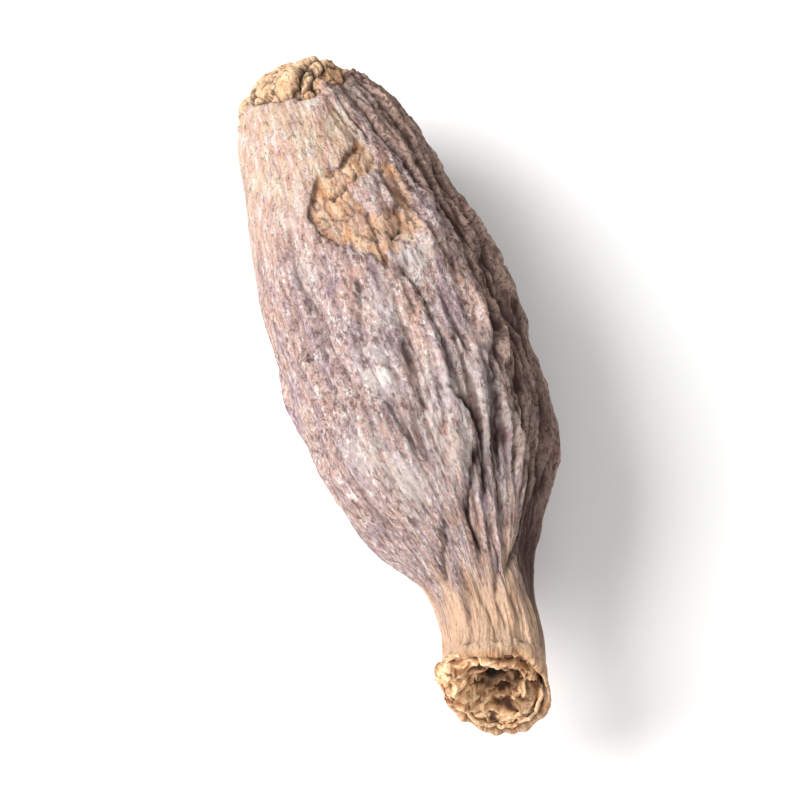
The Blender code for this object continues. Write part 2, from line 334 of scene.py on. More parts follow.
def put_points(name: str, points: np.ndarray, faces: list[tuple[int, ...]]) -> bpy.types.Object:
    """An object at the origin whose mesh holds the points, given in millimetres.

    Args:
        name: The object's name.
        points: Rows of x, y and z in millimetres.
        faces: Each face's corners, as rows of points.

    Returns:
        The new object, smoothly shaded.
    """
    mesh = bpy.data.meshes.new(name)
    mesh.from_pydata((points * MM).tolist(), [], faces)
    mesh.shade_smooth()
    made = bpy.data.objects.new(name, mesh)
    bpy.context.scene.collection.objects.link(made)
    return made


def put_closed(name: str, points: np.ndarray, columns: int) -> bpy.types.Object:
    """A closed surface from rings of points, with a pole at the middle of the first and the last ring.

    Args:
        name: The object's name.
        points: The rings' points in millimetres, ring by ring.
        columns: How many points a ring has.

    Returns:
        The new object, whose last two points are the poles.
    """
    poles = np.stack([points[:columns].mean(axis=0), points[-columns:].mean(axis=0)])
    first, last, base = len(points), len(points) + 1, len(points) - columns
    faces = ring_faces(len(points) // columns, columns, closed=True)
    faces += [(first, column, (column + 1) % columns) for column in range(columns)]
    faces += [(last, base + (column + 1) % columns, base + column) for column in range(columns)]
    return put_points(name, np.concatenate([points, poles]), faces)


def with_poles(values: np.ndarray) -> np.ndarray:
    """Values for each point of a closed surface's rings, with those of its two poles added."""
    return np.concatenate([values, values[:1], values[-1:]])


def put_values(made: bpy.types.Object, name: str, values: np.ndarray) -> None:
    """Keeps one number or one vector for each of a mesh's points.

    Args:
        made: The mesh object.
        name: The attribute's name, which a material reads.
        values: One number for each point, or one row of three.
    """
    kind, key = ("FLOAT", "value") if values.ndim == 1 else ("FLOAT_VECTOR", "vector")
    attribute = made.data.attributes.new(name, kind, "POINT")
    attribute.data.foreach_set(key, values.astype(np.float32).ravel())


def ring_faces(rows: int, columns: int, closed: bool) -> list[tuple[int, ...]]:
    """The four-cornered faces of a grid of points, numbered row by row.

    Args:
        rows: How many rows of points there are.
        columns: How many points a row has.
        closed: Whether the last column joins the first.

    Returns:
        Each face's corners.
    """
    across = np.arange(columns if closed else columns - 1)
    row, column = np.meshgrid(np.arange(rows - 1), across, indexing="ij")
    start, beside = row * columns + column, row * columns + (column + 1) % columns
    faces = np.stack([start, start + columns, beside + columns, beside], axis=-1)
    return [tuple(face) for face in faces.reshape(-1, 4).tolist()]


class Nodes:
    """A material's node tree, with short ways to add the nodes that the finishes share."""

    def __init__(self, name: str) -> None:
        """Starts a material with its Principled shader.

        Args:
            name: The material's name.
        """
        self.material = bpy.data.materials.new(name)
        self.material.use_nodes = True
        self.tree = self.material.node_tree
        self.shader = self.tree.nodes["Principled BSDF"]

    def add(self, kind: str, **settings: object) -> bpy.types.Node:
        """A node of a kind, with its properties set.

        Args:
            kind: The node's type.
            settings: The properties and their values.

        Returns:
            The node.
        """
        node = self.tree.nodes.new(kind)
        for key, value in settings.items():
            setattr(node, key, value)
        return node

    def feed(self, socket: bpy.types.NodeSocket, value: object) -> None:
        """Links an output to a socket, or sets the socket to a plain value.

        Args:
            socket: The input.
            value: An output or a plain value.
        """
        if isinstance(value, bpy.types.NodeSocket):
            self.tree.links.new(value, socket)
        else:
            socket.default_value = value

    def attribute(self, name: str) -> bpy.types.NodeSocket:
        """A number kept for each point of the mesh."""
        return self.add("ShaderNodeAttribute", attribute_name=name).outputs["Fac"]

    def place(self, name: str, stretch: tuple[float, float, float]) -> bpy.types.NodeSocket:
        """A vector kept for each point, with its three parts scaled.

        Args:
            name: The attribute's name.
            stretch: The scale of each part.

        Returns:
            The scaled vector.
        """
        mapping = self.add("ShaderNodeMapping")
        vector = self.add("ShaderNodeAttribute", attribute_name=name).outputs["Vector"]
        self.feed(mapping.inputs["Vector"], vector)
        mapping.inputs["Scale"].default_value = stretch
        return mapping.outputs["Vector"]

    def noise(self, vector: bpy.types.NodeSocket, scale: float, detail: float = 4.0,
              roughness: float = 0.6, distortion: float = 0.0) -> bpy.types.NodeSocket:
        """Blender's fractal noise, from about 0.2 to 0.8.

        Args:
            vector: Where it is read.
            scale: Cells for each unit of the vector.
            detail: How many finer layers it adds.
            roughness: How strong the finer layers are.
            distortion: How much it swirls.

        Returns:
            The noise's value.
        """
        node = self.add("ShaderNodeTexNoise")
        self.feed(node.inputs["Vector"], vector)
        node.inputs["Scale"].default_value = scale
        node.inputs["Detail"].default_value = detail
        node.inputs["Roughness"].default_value = roughness
        node.inputs["Distortion"].default_value = distortion
        return node.outputs["Fac"]

    def lines(self, vector: bpy.types.NodeSocket, scale: float, width: float) -> bpy.types.NodeSocket:
        """Thin wandering lines, where a noise crosses its middle value.

        Args:
            vector: Where it is read.
            scale: Noise cells for each unit of the vector.
            width: How far from the middle value a line still shows.

        Returns:
            1 on a line, 0 away from it.
        """
        away = self.add("ShaderNodeMath", operation="SUBTRACT")
        self.feed(away.inputs[0], self.noise(vector, scale, 2.0, 0.55, 0.4))
        away.inputs[1].default_value = 0.5
        size = self.add("ShaderNodeMath", operation="ABSOLUTE")
        self.feed(size.inputs[0], away.outputs[0])
        return self.step(size.outputs[0], 0.0, width, 1.0, 0.0)

    def step(self, value: bpy.types.NodeSocket, low: float, high: float,
             bottom: float = 0.0, top: float = 1.0) -> bpy.types.NodeSocket:
        """A smooth step between two values.

        Args:
            value: What is read.
            low: Where the step starts.
            high: Where it ends.
            bottom: The result at and before the start.
            top: The result at and after the end.

        Returns:
            The step's result.
        """
        node = self.add("ShaderNodeMapRange", interpolation_type="SMOOTHSTEP")
        names = ("Value", "From Min", "From Max", "To Min", "To Max")
        for name, given in zip(names, (value, low, high, bottom, top)):
            self.feed(node.inputs[name], given)
        return node.outputs["Result"]

    def math(self, operation: str, first: object, second: object) -> bpy.types.NodeSocket:
        """One sum of two numbers, kept between 0 and 1.

        Args:
            operation: What is done with them.
            first: The first number.
            second: The second number.

        Returns:
            The sum's result.
        """
        node = self.add("ShaderNodeMath", operation=operation, use_clamp=True)
        self.feed(node.inputs[0], first)
        self.feed(node.inputs[1], second)
        return node.outputs[0]

    def mix(self, under: object, over: object, share: object) -> bpy.types.NodeSocket:
        """One colour laid over another.

        Args:
            under: The colour below.
            over: The colour on top.
            share: How much of the top one shows, from 0 to 1.

        Returns:
            The mixed colour.
        """
        node = self.add("ShaderNodeMix", data_type="RGBA", blend_type="MIX", clamp_factor=True)
        self.feed(node.inputs["Factor"], share)
        self.feed(node.inputs[6], under)
        self.feed(node.inputs[7], over)
        return node.outputs[2]

    def laid(self, colour: object, *layers: Layer) -> bpy.types.NodeSocket:
        """Colours laid over one another, each where its pattern's smooth step shows it.

        Args:
            colour: The lowest colour.
            layers: The colours above it, from the lowest up.

        Returns:
            The mixed colour.
        """
        for over, pattern, start, full, share in layers:
            colour = self.mix(colour, over, self.step(pattern, start, full, 0.0, share))
        return colour

    def bump(self, height: bpy.types.NodeSocket, distance: float, strength: float) -> None:
        """Feeds a relief too fine for the mesh to the shader's normal.

        Args:
            height: The relief, from 0 to 1.
            distance: Its full height, in millimetres.
            strength: How strongly it counts.
        """
        node = self.add("ShaderNodeBump")
        self.feed(node.inputs["Height"], height)
        node.inputs["Distance"].default_value = distance * MM
        node.inputs["Strength"].default_value = strength
        self.feed(self.shader.inputs["Normal"], node.outputs["Normal"])


@dataclass(frozen=True)
class Patterns:
    """What the husk's colours are laid by: noises of falling size, drawn out along the pod, and the
    height of the skin's ridges."""

    zone: bpy.types.NodeSocket
    blotch: bpy.types.NodeSocket
    streak: bpy.types.NodeSocket
    grain: bpy.types.NodeSocket
    fleck: bpy.types.NodeSocket
    speck: bpy.types.NodeSocket
    ridge: bpy.types.NodeSocket


@dataclass(frozen=True)
class HuskFinish:
    """The husk's dry skin: lilac grey and rose in fine flecks drawn out along the pod, with a net of
    thin dark wrinkles; paler by the scar, brown on the far side, partly its own tone and partly painted
    shade, straw where it is torn or flaked; painted shade in its hollows and painted highlight on its ridges."""

    grey: Colour = display(198, 175, 175)
    lilac: Colour = display(184, 156, 168)
    rose: Colour = display(216, 171, 154)
    umber: Colour = display(106, 78, 74)
    chalk: Colour = display(238, 230, 224)
    cream: Colour = display(226, 200, 172)
    blush: Colour = display(222, 184, 166)
    # The far side's brown, partly its own tone and partly painted shade.
    brown_and_painted_shade: Colour = display(178, 150, 136)
    straw: Colour = display(228, 172, 124)
    honey: Colour = display(176, 116, 76)
    flesh: Colour = display(254, 214, 182)
    pith: Colour = display(248, 214, 174)
    bark: Colour = display(74, 47, 35)
    # Near black for the painted shadow at the bottom of the creases and the cracks.
    shadow_black: Colour = display(30, 18, 14)

    def patterns(self, nodes: Nodes) -> Patterns:
        """The patterns, read at the skin's places with their length along the pod shortened.

        Args:
            nodes: The material's nodes.

        Returns:
            The patterns.
        """
        zoned, stretched, drawn, around = (
            nodes.place("skin_place", (length, 1.0, 1.0)) for length in (0.4, 0.45, 0.25, 0.7))
        return Patterns(
            zone=nodes.noise(zoned, 0.42, 3.0, 0.6, 0.8),
            blotch=nodes.noise(stretched, 0.95, 5.0, 0.68, 0.4),
            streak=nodes.noise(drawn, 1.2, 4.0, 0.66, 0.3),
            grain=nodes.noise(around, 1.6, 6.0, 0.74, 0.2),
            fleck=nodes.noise(around, 2.3, 5.0, 0.66, 0.1),
            speck=nodes.noise(around, 4.0, 3.0, 0.55),
            ridge=nodes.attribute("ridge"),
        )

    def body(self, nodes: Nodes, seen: Patterns) -> bpy.types.NodeSocket:
        """The lit side's colour: grey to rose, with lilac zones and fine chalky and dark flecks.

        Args:
            nodes: The material's nodes.
            seen: The patterns.

        Returns:
            The colour.
        """
        rosy = nodes.math("ADD", nodes.attribute("rosy"), nodes.math("MULTIPLY", seen.ridge, 0.2))
        rosy = nodes.math("MULTIPLY", rosy, 0.7)
        rosy = nodes.math("ADD", rosy, nodes.step(seen.zone, 0.44, 0.6, 0.0, 0.4))
        colour = nodes.laid(
            nodes.mix(self.grey, self.rose, rosy), (self.lilac, seen.zone, 0.52, 0.4, 0.75),
            (self.umber, seen.blotch, 0.48, 0.34, 0.2), (self.blush, seen.streak, 0.52, 0.62, 0.5))
        chalky = nodes.step(seen.streak, 0.44, 0.6, 0.25, 1.0)
        chalky = nodes.math("MULTIPLY", chalky, nodes.step(seen.fleck, 0.48, 0.56, 0.0, 0.95))
        return nodes.laid(
            nodes.mix(colour, self.chalk, chalky), (self.umber, seen.streak, 0.46, 0.38, 0.3),
            (self.umber, seen.grain, 0.49, 0.39, 0.75), (self.umber, seen.speck, 0.45, 0.36, 0.45))

    def scar_end(self, nodes: Nodes, seen: Patterns) -> bpy.types.NodeSocket:
        """The paler colour by the scar: cream, blush and lilac, mottled.

        Args:
            nodes: The material's nodes.
            seen: The patterns.

        Returns:
            The colour.
        """
        return nodes.laid(
            self.cream, (self.blush, seen.zone, 0.46, 0.56, 1.0), (self.lilac, seen.blotch, 0.47, 0.36, 0.6),
            (self.blush, seen.grain, 0.5, 0.6, 0.7), (self.grey, seen.grain, 0.45, 0.32, 0.7),
            (self.chalk, seen.streak, 0.5, 0.6, 0.6), (self.honey, seen.streak, 0.46, 0.36, 0.4),
            (self.umber, seen.speck, 0.44, 0.34, 0.4))

    def far_side(self, nodes: Nodes, seen: Patterns) -> bpy.types.NodeSocket:
        """The far side's brown, partly the skin's own tone and partly painted shade, with painted highlight
        on its ridges.

        Args:
            nodes: The material's nodes.
            seen: The patterns.

        Returns:
            The colour.
        """
        colour = nodes.laid(self.brown_and_painted_shade, (self.umber, seen.grain, 0.52, 0.4, 1.0))
        # Painted highlight: blush on the ridges.
        lit = nodes.step(seen.ridge, 0.15, 0.7, 0.3, 1.0)
        lit = nodes.math("MULTIPLY", lit, nodes.step(seen.fleck, 0.44, 0.54, 0.1, 0.9))
        return nodes.laid(nodes.mix(colour, self.blush, lit), (self.bark, seen.speck, 0.45, 0.35, 0.7))

    def fleshy(self, nodes: Nodes, seen: Patterns) -> bpy.types.NodeSocket:
        """The neck's colour: flesh with straw, rose and honey.

        Args:
            nodes: The material's nodes.
            seen: The patterns.

        Returns:
            The colour.
        """
        return nodes.laid(
            self.flesh, (self.straw, seen.blotch, 0.5, 0.62, 0.5), (self.rose, seen.zone, 0.5, 0.38, 0.3),
            (self.pith, seen.streak, 0.5, 0.6, 0.6), (self.honey, seen.streak, 0.46, 0.38, 0.5),
            (self.honey, seen.grain, 0.44, 0.36, 0.4))

    def torn(self, nodes: Nodes, seen: Patterns) -> bpy.types.NodeSocket:
        """The straw colour of the scar, the flaked patch and the mouth's inside, with painted highlight on
        its ridges and raised blocks.

        Args:
            nodes: The material's nodes.
            seen: The patterns.

        Returns:
            The colour.
        """
        colour = nodes.laid(
            self.straw, (self.honey, seen.grain, 0.52, 0.66, 0.6), (self.flesh, seen.blotch, 0.47, 0.6, 0.7),
            (self.pith, seen.streak, 0.5, 0.6, 0.6), (self.honey, seen.streak, 0.46, 0.38, 0.6))
        # Painted highlight: pith on the ridges and the scar's raised blocks.
        lit = nodes.math("MULTIPLY", seen.ridge, nodes.step(seen.fleck, 0.4, 0.55, 0.3, 0.9))
        return nodes.laid(nodes.mix(colour, self.pith, lit), (self.bark, seen.speck, 0.42, 0.32, 0.7))

    def wrinkle_lines(self, nodes: Nodes, seen: Patterns) -> bpy.types.NodeSocket:
        """The net of thin dark wrinkles, with long seams that are weak on the cream by the scar.

        Args:
            nodes: The material's nodes.
            seen: The patterns.

        Returns:
            How dark the lines are.
        """
        short, long = (nodes.place("skin_place", (length, 1.0, 1.0)) for length in (0.3, 0.25))
        lines = nodes.lines(short, 1.1, 0.026)
        lines = nodes.math("MULTIPLY", lines, nodes.step(seen.grain, 0.62, 0.44, 0.1, 0.75))
        seams = nodes.lines(long, 0.5, 0.012)
        seams = nodes.math("MULTIPLY", seams, nodes.step(nodes.attribute("cream"), 0.0, 0.6, 0.55, 0.1))
        lines = nodes.math("MAXIMUM", lines, seams)
        return nodes.math("MULTIPLY", lines, nodes.step(nodes.attribute("neck"), 0.2, 1.0, 1.0, 0.5))

    def material(self) -> bpy.types.Material:
        """The finish as a material that reads the husk's attributes.

        Returns:
            The material.
        """
        nodes = Nodes("husk_skin")
        seen = self.patterns(nodes)
        colour = nodes.mix(self.body(nodes, seen), self.scar_end(nodes, seen), nodes.attribute("cream"))
        # The far side's brown, partly the skin's own tone and partly painted shade.
        colour = nodes.mix(colour, self.far_side(nodes, seen), nodes.attribute("brown_and_painted_shade"))
        colour = nodes.mix(colour, self.fleshy(nodes, seen), nodes.attribute("neck"))
        colour = nodes.mix(colour, self.umber, self.wrinkle_lines(nodes, seen))
        colour = nodes.mix(colour, self.torn(nodes, seen), nodes.attribute("straw"))
        # Chalky bloom, partly painted light on the middle of the top.
        colour = nodes.mix(colour, self.chalk, nodes.attribute("bloom_and_painted_light"))
        # Painted shade: umber, then bark, in the valleys of the relief, the scar's joints and pits, the
        # flaked patch's cracks, inside the mouth and along the right limb.
        painted_shade = nodes.attribute("painted_shade")
        colour = nodes.laid(colour, (self.umber, painted_shade, 0.0, 0.5, 0.6), (self.bark, painted_shade, 0.35, 1.0, 0.9))
        # Painted shadow: near black at the bottom of the creases and the cracks.
        colour = nodes.mix(colour, self.shadow_black, nodes.attribute("painted_groove_shadow"))
        nodes.feed(nodes.shader.inputs["Base Color"], colour)
        nodes.feed(nodes.shader.inputs["Roughness"], nodes.step(seen.grain, 0.3, 0.7, 0.62, 0.86))
        nodes.shader.inputs["Specular IOR Level"].default_value = 0.35
        relief = nodes.math("ADD", nodes.math("MULTIPLY", seen.grain, 0.65),
                            nodes.math("MULTIPLY", seen.fleck, 0.35))
        nodes.bump(relief, 1.0, 1.0)
        return nodes.material


@dataclass(frozen=True)
class PaperFinish:
    """The withered flower's dry paper: straw and honey veins along each sheet, with painted shade, honey to
    bark brown, in its folds and towards its root, and a painted cream highlight along its edges.
    """

    straw: Colour = display(222, 174, 130)
    cream: Colour = display(244, 212, 170)
    honey: Colour = display(140, 92, 58)
    bark: Colour = display(32, 18, 12)

    def material(self) -> bpy.types.Material:
        """The finish as a material that reads a sheet's attributes.

        Returns:
            The material.
        """
        nodes = Nodes("dry_paper")
        place = nodes.place("sheet_place", (1.0, 0.4, 1.0))
        vein = nodes.noise(place, 2.2, 5.0, 0.65, 0.5)
        mottle = nodes.noise(place, 0.7, 4.0, 0.6)
        crease = nodes.attribute("crease")
        colour = nodes.laid(self.straw, (self.honey, mottle, 0.45, 0.62, 1.0),
                            (self.cream, vein, 0.52, 0.68, 0.7), (self.honey, vein, 0.44, 0.3, 0.8))
        # Painted highlight: cream along the edges and the fold ridges.
        edge = nodes.math("MULTIPLY", nodes.attribute("painted_rim_highlight"), nodes.step(vein, 0.3, 0.5))
        # Painted shade: honey to bark in the folds.
        colour = nodes.laid(nodes.mix(colour, self.cream, edge), (self.honey, crease, 0.0, 0.6, 0.75),
                            (self.bark, crease, 0.5, 1.0, 0.85))
        # Painted shade: bark brown towards the root, in the hole and the hollows.
        colour = nodes.mix(colour, self.bark, nodes.attribute("root"))
        nodes.feed(nodes.shader.inputs["Base Color"], colour)
        nodes.shader.inputs["Roughness"].default_value = 0.7
        nodes.shader.inputs["Specular IOR Level"].default_value = 0.3
        nodes.bump(vein, 0.2, 0.6)
        return nodes.material


@dataclass(frozen=True)
class FloorFinish:
    """A matt, nearly white surface with a faint unevenness."""

    white: Colour = display(252, 252, 251)
    shade: Colour = display(248, 247, 246)

    def material(self) -> bpy.types.Material:
        """The finish as a material on object coordinates.

        Returns:
            The material.
        """
        nodes = Nodes("pale_floor")
        place = nodes.add("ShaderNodeTexCoord").outputs["Object"]
        colour = nodes.mix(self.white, self.shade, nodes.noise(place, 9.0))
        nodes.feed(nodes.shader.inputs["Base Color"], colour)
        nodes.shader.inputs["Roughness"].default_value = 0.9
        return nodes.material


@dataclass
class CentreLine:
    """The pod's bent axis, and points placed in sections square to it."""

    rest_along: float = 31.0
    height_share: float = 0.94
    lean_span: float = 1.0
    stations: Places = (
        (0.0, -2.8, 10.7), (6.0, -2.0, 10.9), (12.0, -1.1, 11.0), (20.0, -0.5, 10.9),
        (30.0, 0.2, 10.8), (40.0, 0.9, 10.9), (48.0, 0.8, 11.3), (56.0, 1.0, 12.0),
        (62.0, 0.8, 12.5), (66.0, 0.4, 12.9), (69.0, -0.3, 13.3), (72.5, -1.3, 13.9),
    )

    def at(self, along: np.ndarray) -> tuple[np.ndarray, np.ndarray]:
        """The line's offset to the side and its height above the floor."""
        table = np.array(self.stations)
        return eased(along, table[:, 0], table[:, 1]), eased(along, table[:, 0], table[:, 2])

    def points(self, along: np.ndarray, out: np.ndarray, up: np.ndarray) -> np.ndarray:
        """Places measured from the line, leaned with its slope, and pressed flat on the floor.

        Args:
            along: Distance along the pod.
            out: Distance from the line towards +Y.
            up: Distance from the line upwards.

        Returns:
            Rows of x, y and z.
        """
        side, height = self.at(along)
        side_after, height_after = self.at(along + self.lean_span / 2)
        side_before, height_before = self.at(along - self.lean_span / 2)
        lean_side = (side_after - side_before) / self.lean_span
        lean_up = (height_after - height_before) / self.lean_span
        x = along - self.rest_along - lean_side * out - lean_up * up
        return np.stack([x, side + out, np.maximum(height + up, 0)], axis=-1)


@dataclass(frozen=True)
class Heights:
    """How high, or deep, each kind of relief stands on the husk, in millimetres."""

    lump: float = 0.5
    fold: float = 1.6
    flake: float = 0.45
    tear: float = 0.4
    narrow: float = 0.5
    narrow_shaded: float = 0.4
    wrinkle: float = 0.36
    wrinkle_shaded: float = 0.3
    net: float = 0.2
    block: float = 0.5
    joint: float = 0.7
    crumb: float = 0.25
    lip_crumple: float = 0.35
    plate: float = 0.12
    plate_crack: float = 0.2


@dataclass
class Husk:
    """The husk, from its stalk scar over the body and the neck, round the torn lip into the mouth.

    Attributes:
        rows: Rings of points from the scar to the mouth's bottom.
        columns: Points in a ring.
        crowding: How far a ring's points crowd towards the top.
        half_width: The body's half width at its widest.
        lip_share: Where the profile turns into the mouth.
        lip_along: How far along the pod that is.
        neck_start: Where the neck begins, and by what distance along the pod it is all neck.
        cheek_turn: The middle of the smooth cheek on the lit side, in degrees.
        shaded_turns: Where the furrowed side begins, and where it is at its roughest, in degrees.
        flat_depth: How close to the floor a point counts as resting on it.
        hidden_turns: The turns between which the hidden creases lie, in degrees.
        hidden_count: How many hidden creases there are.
        line: The bent axis.
        heights: How high each kind of relief stands.
        finish: The skin's material.
        profile: Share, distance along and half width at stations from the scar to the mouth's bottom.
        row_shares: The profile's share at shares of the rows.
        creases: The creases on the top and the flanks.
        cracks: The fine cracks round the scar and the flaked patch.
        flakes: The outlines where the outer skin has flaked off.
        scar_border: The distance along of the scar's border at turns in degrees.
        lip_edge: The distance along of the torn lip at turns in degrees.
        bumps: Distance along, turn, height, and spread along and round, of swellings at both ends.
        rosy_bands: Distance along, turn, and spread along and round, of the rosy bands.
        bloom_spots: Distance along, turn, spread and strength of the chalky spots; the broad ones also
            brighten the middle of the top as painted light.
        dusk_edge: The turn at which the brown far side, partly painted shade, begins, at distances along.
    """

    rows: int = 352
    columns: int = 280
    crowding: float = 0.4
    half_width: float = 12.0
    lip_share: float = 0.87
    lip_along: float = 71.6
    neck_start: tuple[float, float] = (53.0, 61.0)
    cheek_turn: float = -42.0
    shaded_turns: tuple[float, float] = (22.0, 50.0)
    flat_depth: float = 0.05
    hidden_turns: tuple[float, float] = (94.0, 246.0)
    hidden_count: int = 10
    line: CentreLine = field(default_factory=CentreLine)
    heights: Heights = field(default_factory=Heights)
    finish: HuskFinish = field(default_factory=HuskFinish)
    profile: Places = (
        (0.000, 0.00, 0.0), (0.022, 0.15, 2.9), (0.055, 1.30, 4.5), (0.105, 3.60, 6.6),
        (0.165, 7.20, 8.1), (0.235, 13.0, 9.6), (0.310, 20.0, 11.0), (0.370, 26.0, 12.0),
        (0.450, 34.5, 12.0), (0.515, 41.0, 11.6), (0.570, 46.5, 10.6), (0.615, 50.5, 9.1),
        (0.658, 54.2, 7.1), (0.697, 57.6, 5.4), (0.730, 61.0, 4.6), (0.775, 65.5, 4.7),
        (0.830, 69.6, 5.2), (0.870, 71.6, 5.2), (0.895, 71.8, 4.6), (0.930, 70.0, 3.9),
        (0.970, 67.0, 3.1), (1.000, 66.5, 0.0),
    )
    row_shares: Places = (
        (0.0, 0.0), (0.06, 0.055), (0.47, 0.385), (0.66, 0.60), (0.82, 0.78), (0.93, 0.90), (1.0, 1.0),
    )
    creases: tuple[Crease, ...] = (
        Crease(1.0, 0.32, ((29, 3), (30.5, 5.5), (32.6, 8), (35, 9), (37.4, 10), (40.2, 9), (43, 6.5)),
               Raised.LOWER, 0.8),
        Crease(1.0, 0.36, ((42.4, 5.5), (43.4, 8), (44.6, 13), (46.2, 17), (49, 19), (51.5, 16.5),
                           (54.5, 12.5))),
        Crease(1.2, 0.36, ((48.6, 18), (50.6, 9.5), (53, 2.5), (55, -3.5), (56.2, -1.5), (58.8, 2))),
        Crease(1.5, 0.5, ((24, 57), (28, 52), (32, 49), (36, 53), (38.4, 47), (42, 44), (45, 42), (47.8, 46),
                          (51, 52.5), (55, 51), (57, 48.5), (58.2, 40.5), (59.4, 32), (60.8, 19))),
        Crease(1.4, 0.55, ((28, 58), (31.5, 58), (34, 59), (37, 65), (40, 67), (44, 64), (47, 63), (50, 67),
                           (55, 64), (58, 68))),
        Crease(1.0, 0.4, ((17.5, 47), (20.5, 45), (23, 43), (26, 41), (29, 39.5), (33, 41), (36, 40),
                          (38, 36), (40.2, 31.5), (42.5, 30), (45, 30.5), (50, 29), (56, 31))),
        Crease(0.9, 0.38, ((40.2, 39.6), (43, 40), (45.8, 41.5), (48.2, 44.4))),
        Crease(0.8, 0.35, ((11.8, 25), (14, 29), (16.4, 33.5), (20, 35), (24, 34), (30, 29))),
        Crease(0.8, 0.35, ((9, 39), (13, 43), (17, 46))),
        Crease(0.7, 0.3, ((60.5, 44), (63, 45), (66, 47), (68, 50)), Raised.LOWER, 0.6),
        Crease(1.2, 0.75, ((55.5, 61), (58.5, 59), (61, 62), (63.4, 66), (66, 66), (68.4, 61))),
        Crease(0.7, 0.4, ((54.4, -21), (57, -36), (59.6, -52))),
        Crease(0.6, 0.3, ((60, -14), (62, -15), (64, -9), (66, -4), (68.4, -1), (70, -3)), Raised.LOWER, 0.6),
        Crease(0.6, 0.3, ((58.6, 22), (60, 16), (61.6, 9), (63.4, 6), (65, 10), (67, 12)),
               Raised.HIGHER, 0.7),
        Crease(0.6, 0.3, ((62, 22), (65, 27), (68, 30), (70.4, 28)), Raised.HIGHER, 0.5),
        Crease(0.5, 0.3, ((59.6, -24), (61.5, -27), (64, -33), (67, -34), (70, -33)), Raised.LOWER, 0.5),
        Crease(0.5, 0.3, ((28.5, -17), (31, -19), (34, -25), (36, -26)), Raised.LOWER, 0.9),
        Crease(0.45, 0.3, ((40.5, -30), (43, -25), (46, -22), (50, -14)), Raised.LOWER, 0.9),
        Crease(0.45, 0.3, ((24, -58), (27, -55), (31, -57), (35, -54)), Raised.LOWER, 0.7),
        Crease(0.45, 0.3, ((33, -9), (37, -8), (41, -10), (45, -7)), Raised.LOWER, 0.8),
        Crease(0.4, 0.4, ((19, -43), (25, -46), (30, -44), (36, -47)), Raised.LOWER, 0.6),
        Crease(0.4, 0.4, ((38, -40), (44, -36), (49, -40), (55, -36)), Raised.LOWER, 0.6),
    )
    cracks: tuple[Crease, ...] = (
        Crease(1.0, 0.3, ((3.6, -60), (4.2, -42), (4.5, -37), (5, -30), (5.6, -24), (5.8, -18), (6, -11),
                          (6.6, -9), (7, -3.4), (6.8, 4.5), (6, 9)), Raised.LOWER, 1.5),
        Crease(1.4, 0.36, ((6.2, -10), (5.2, -6), (3.8, 1.4), (3.2, 8), (2.7, 16), (2.6, 25)),
               Raised.NEITHER, 1.2),
        Crease(0.7, 0.22, ((4.2, -38), (3.6, -30), (3.3, -27), (2.7, -19))),
        Crease(0.6, 0.2, ((1.0, -70), (2.2, -60), (2.8, -48), (3.9, -36))),
        Crease(0.5, 0.16, ((4.6, 9), (4.4, 3), (5.0, -3), (5.6, -7))),
        Crease(1.2, 0.4, ((5.9, 18), (5.8, 26), (5.4, 34), (4.2, 42)), Raised.NEITHER),
        Crease(0.8, 0.5, ((6.2, 20), (8.4, 21.5), (10.4, 22)), Raised.NEITHER, 0.6),
        Crease(0.5, 0.18, ((6.6, 7), (9.8, 8), (11.8, 11), (12.8, 13.6)), Raised.NEITHER),
        Crease(0.6, 0.2, ((5.6, 14), (8.5, 14), (11, 15), (13, 17.4), (15, 15.4), (17, 14)), Raised.NEITHER),
        Crease(0.5, 0.16, ((12.8, 14.6), (13.6, 10.2), (14.2, 8), (14.9, 1.6), (15.6, -2.4), (16.2, -5.6),
                           (16.0, -8), (16.4, -12), (16.1, -18.8))),
        Crease(0.5, 0.16, ((16.0, -18.2), (17.4, -21.8), (18.4, -24.6), (20, -28.6), (21, -27.2), (22, -26.6),
                           (23, -24), (24.4, -18.7))),
        Crease(0.5, 0.16, ((16.0, 14.6), (17, 9.4), (17.4, 5.6), (17.3, 2), (18.1, -1.4), (18, -5.6),
                           (18.7, -9.6), (19.4, -14.6), (19.9, -13.2))),
        Crease(0.4, 0.13, ((18.2, -6.6), (19.6, -6), (21, -4.2), (22, -3.4), (22.8, -1.4), (24.2, -2.6))),
        Crease(0.4, 0.13, ((17.3, 14.6), (18.6, 15.2), (20.2, 14.4), (21.6, 15.4), (22.8, 12.4),
                           (23.4, 13.6))),
        Crease(0.4, 0.14, ((16.4, 27), (18.2, 25.8), (20.2, 27), (21.6, 24.2), (22.8, 22.8))),
        Crease(0.3, 0.13, ((20.6, -24), (21.4, -19), (21.9, -14), (22.6, -11))),
        Crease(1.1, 0.32, ((25.9, 4.6), (25.4, 7), (25.2, 9.4), (24.8, 11.4)), Raised.NEITHER, 1.5),
        Crease(0.4, 0.14, ((23.6, -2), (25, -1.6), (26.4, -2.6), (27.6, -2), (28.8, -3.2))),
        Crease(0.4, 0.13, ((24.8, 11.4), (24, 14), (24.2, 18), (23.6, 21))),
        Crease(0.4, 0.14, ((28.2, -4), (27.2, -6), (26.4, -11), (25.2, -14.4))),
    )
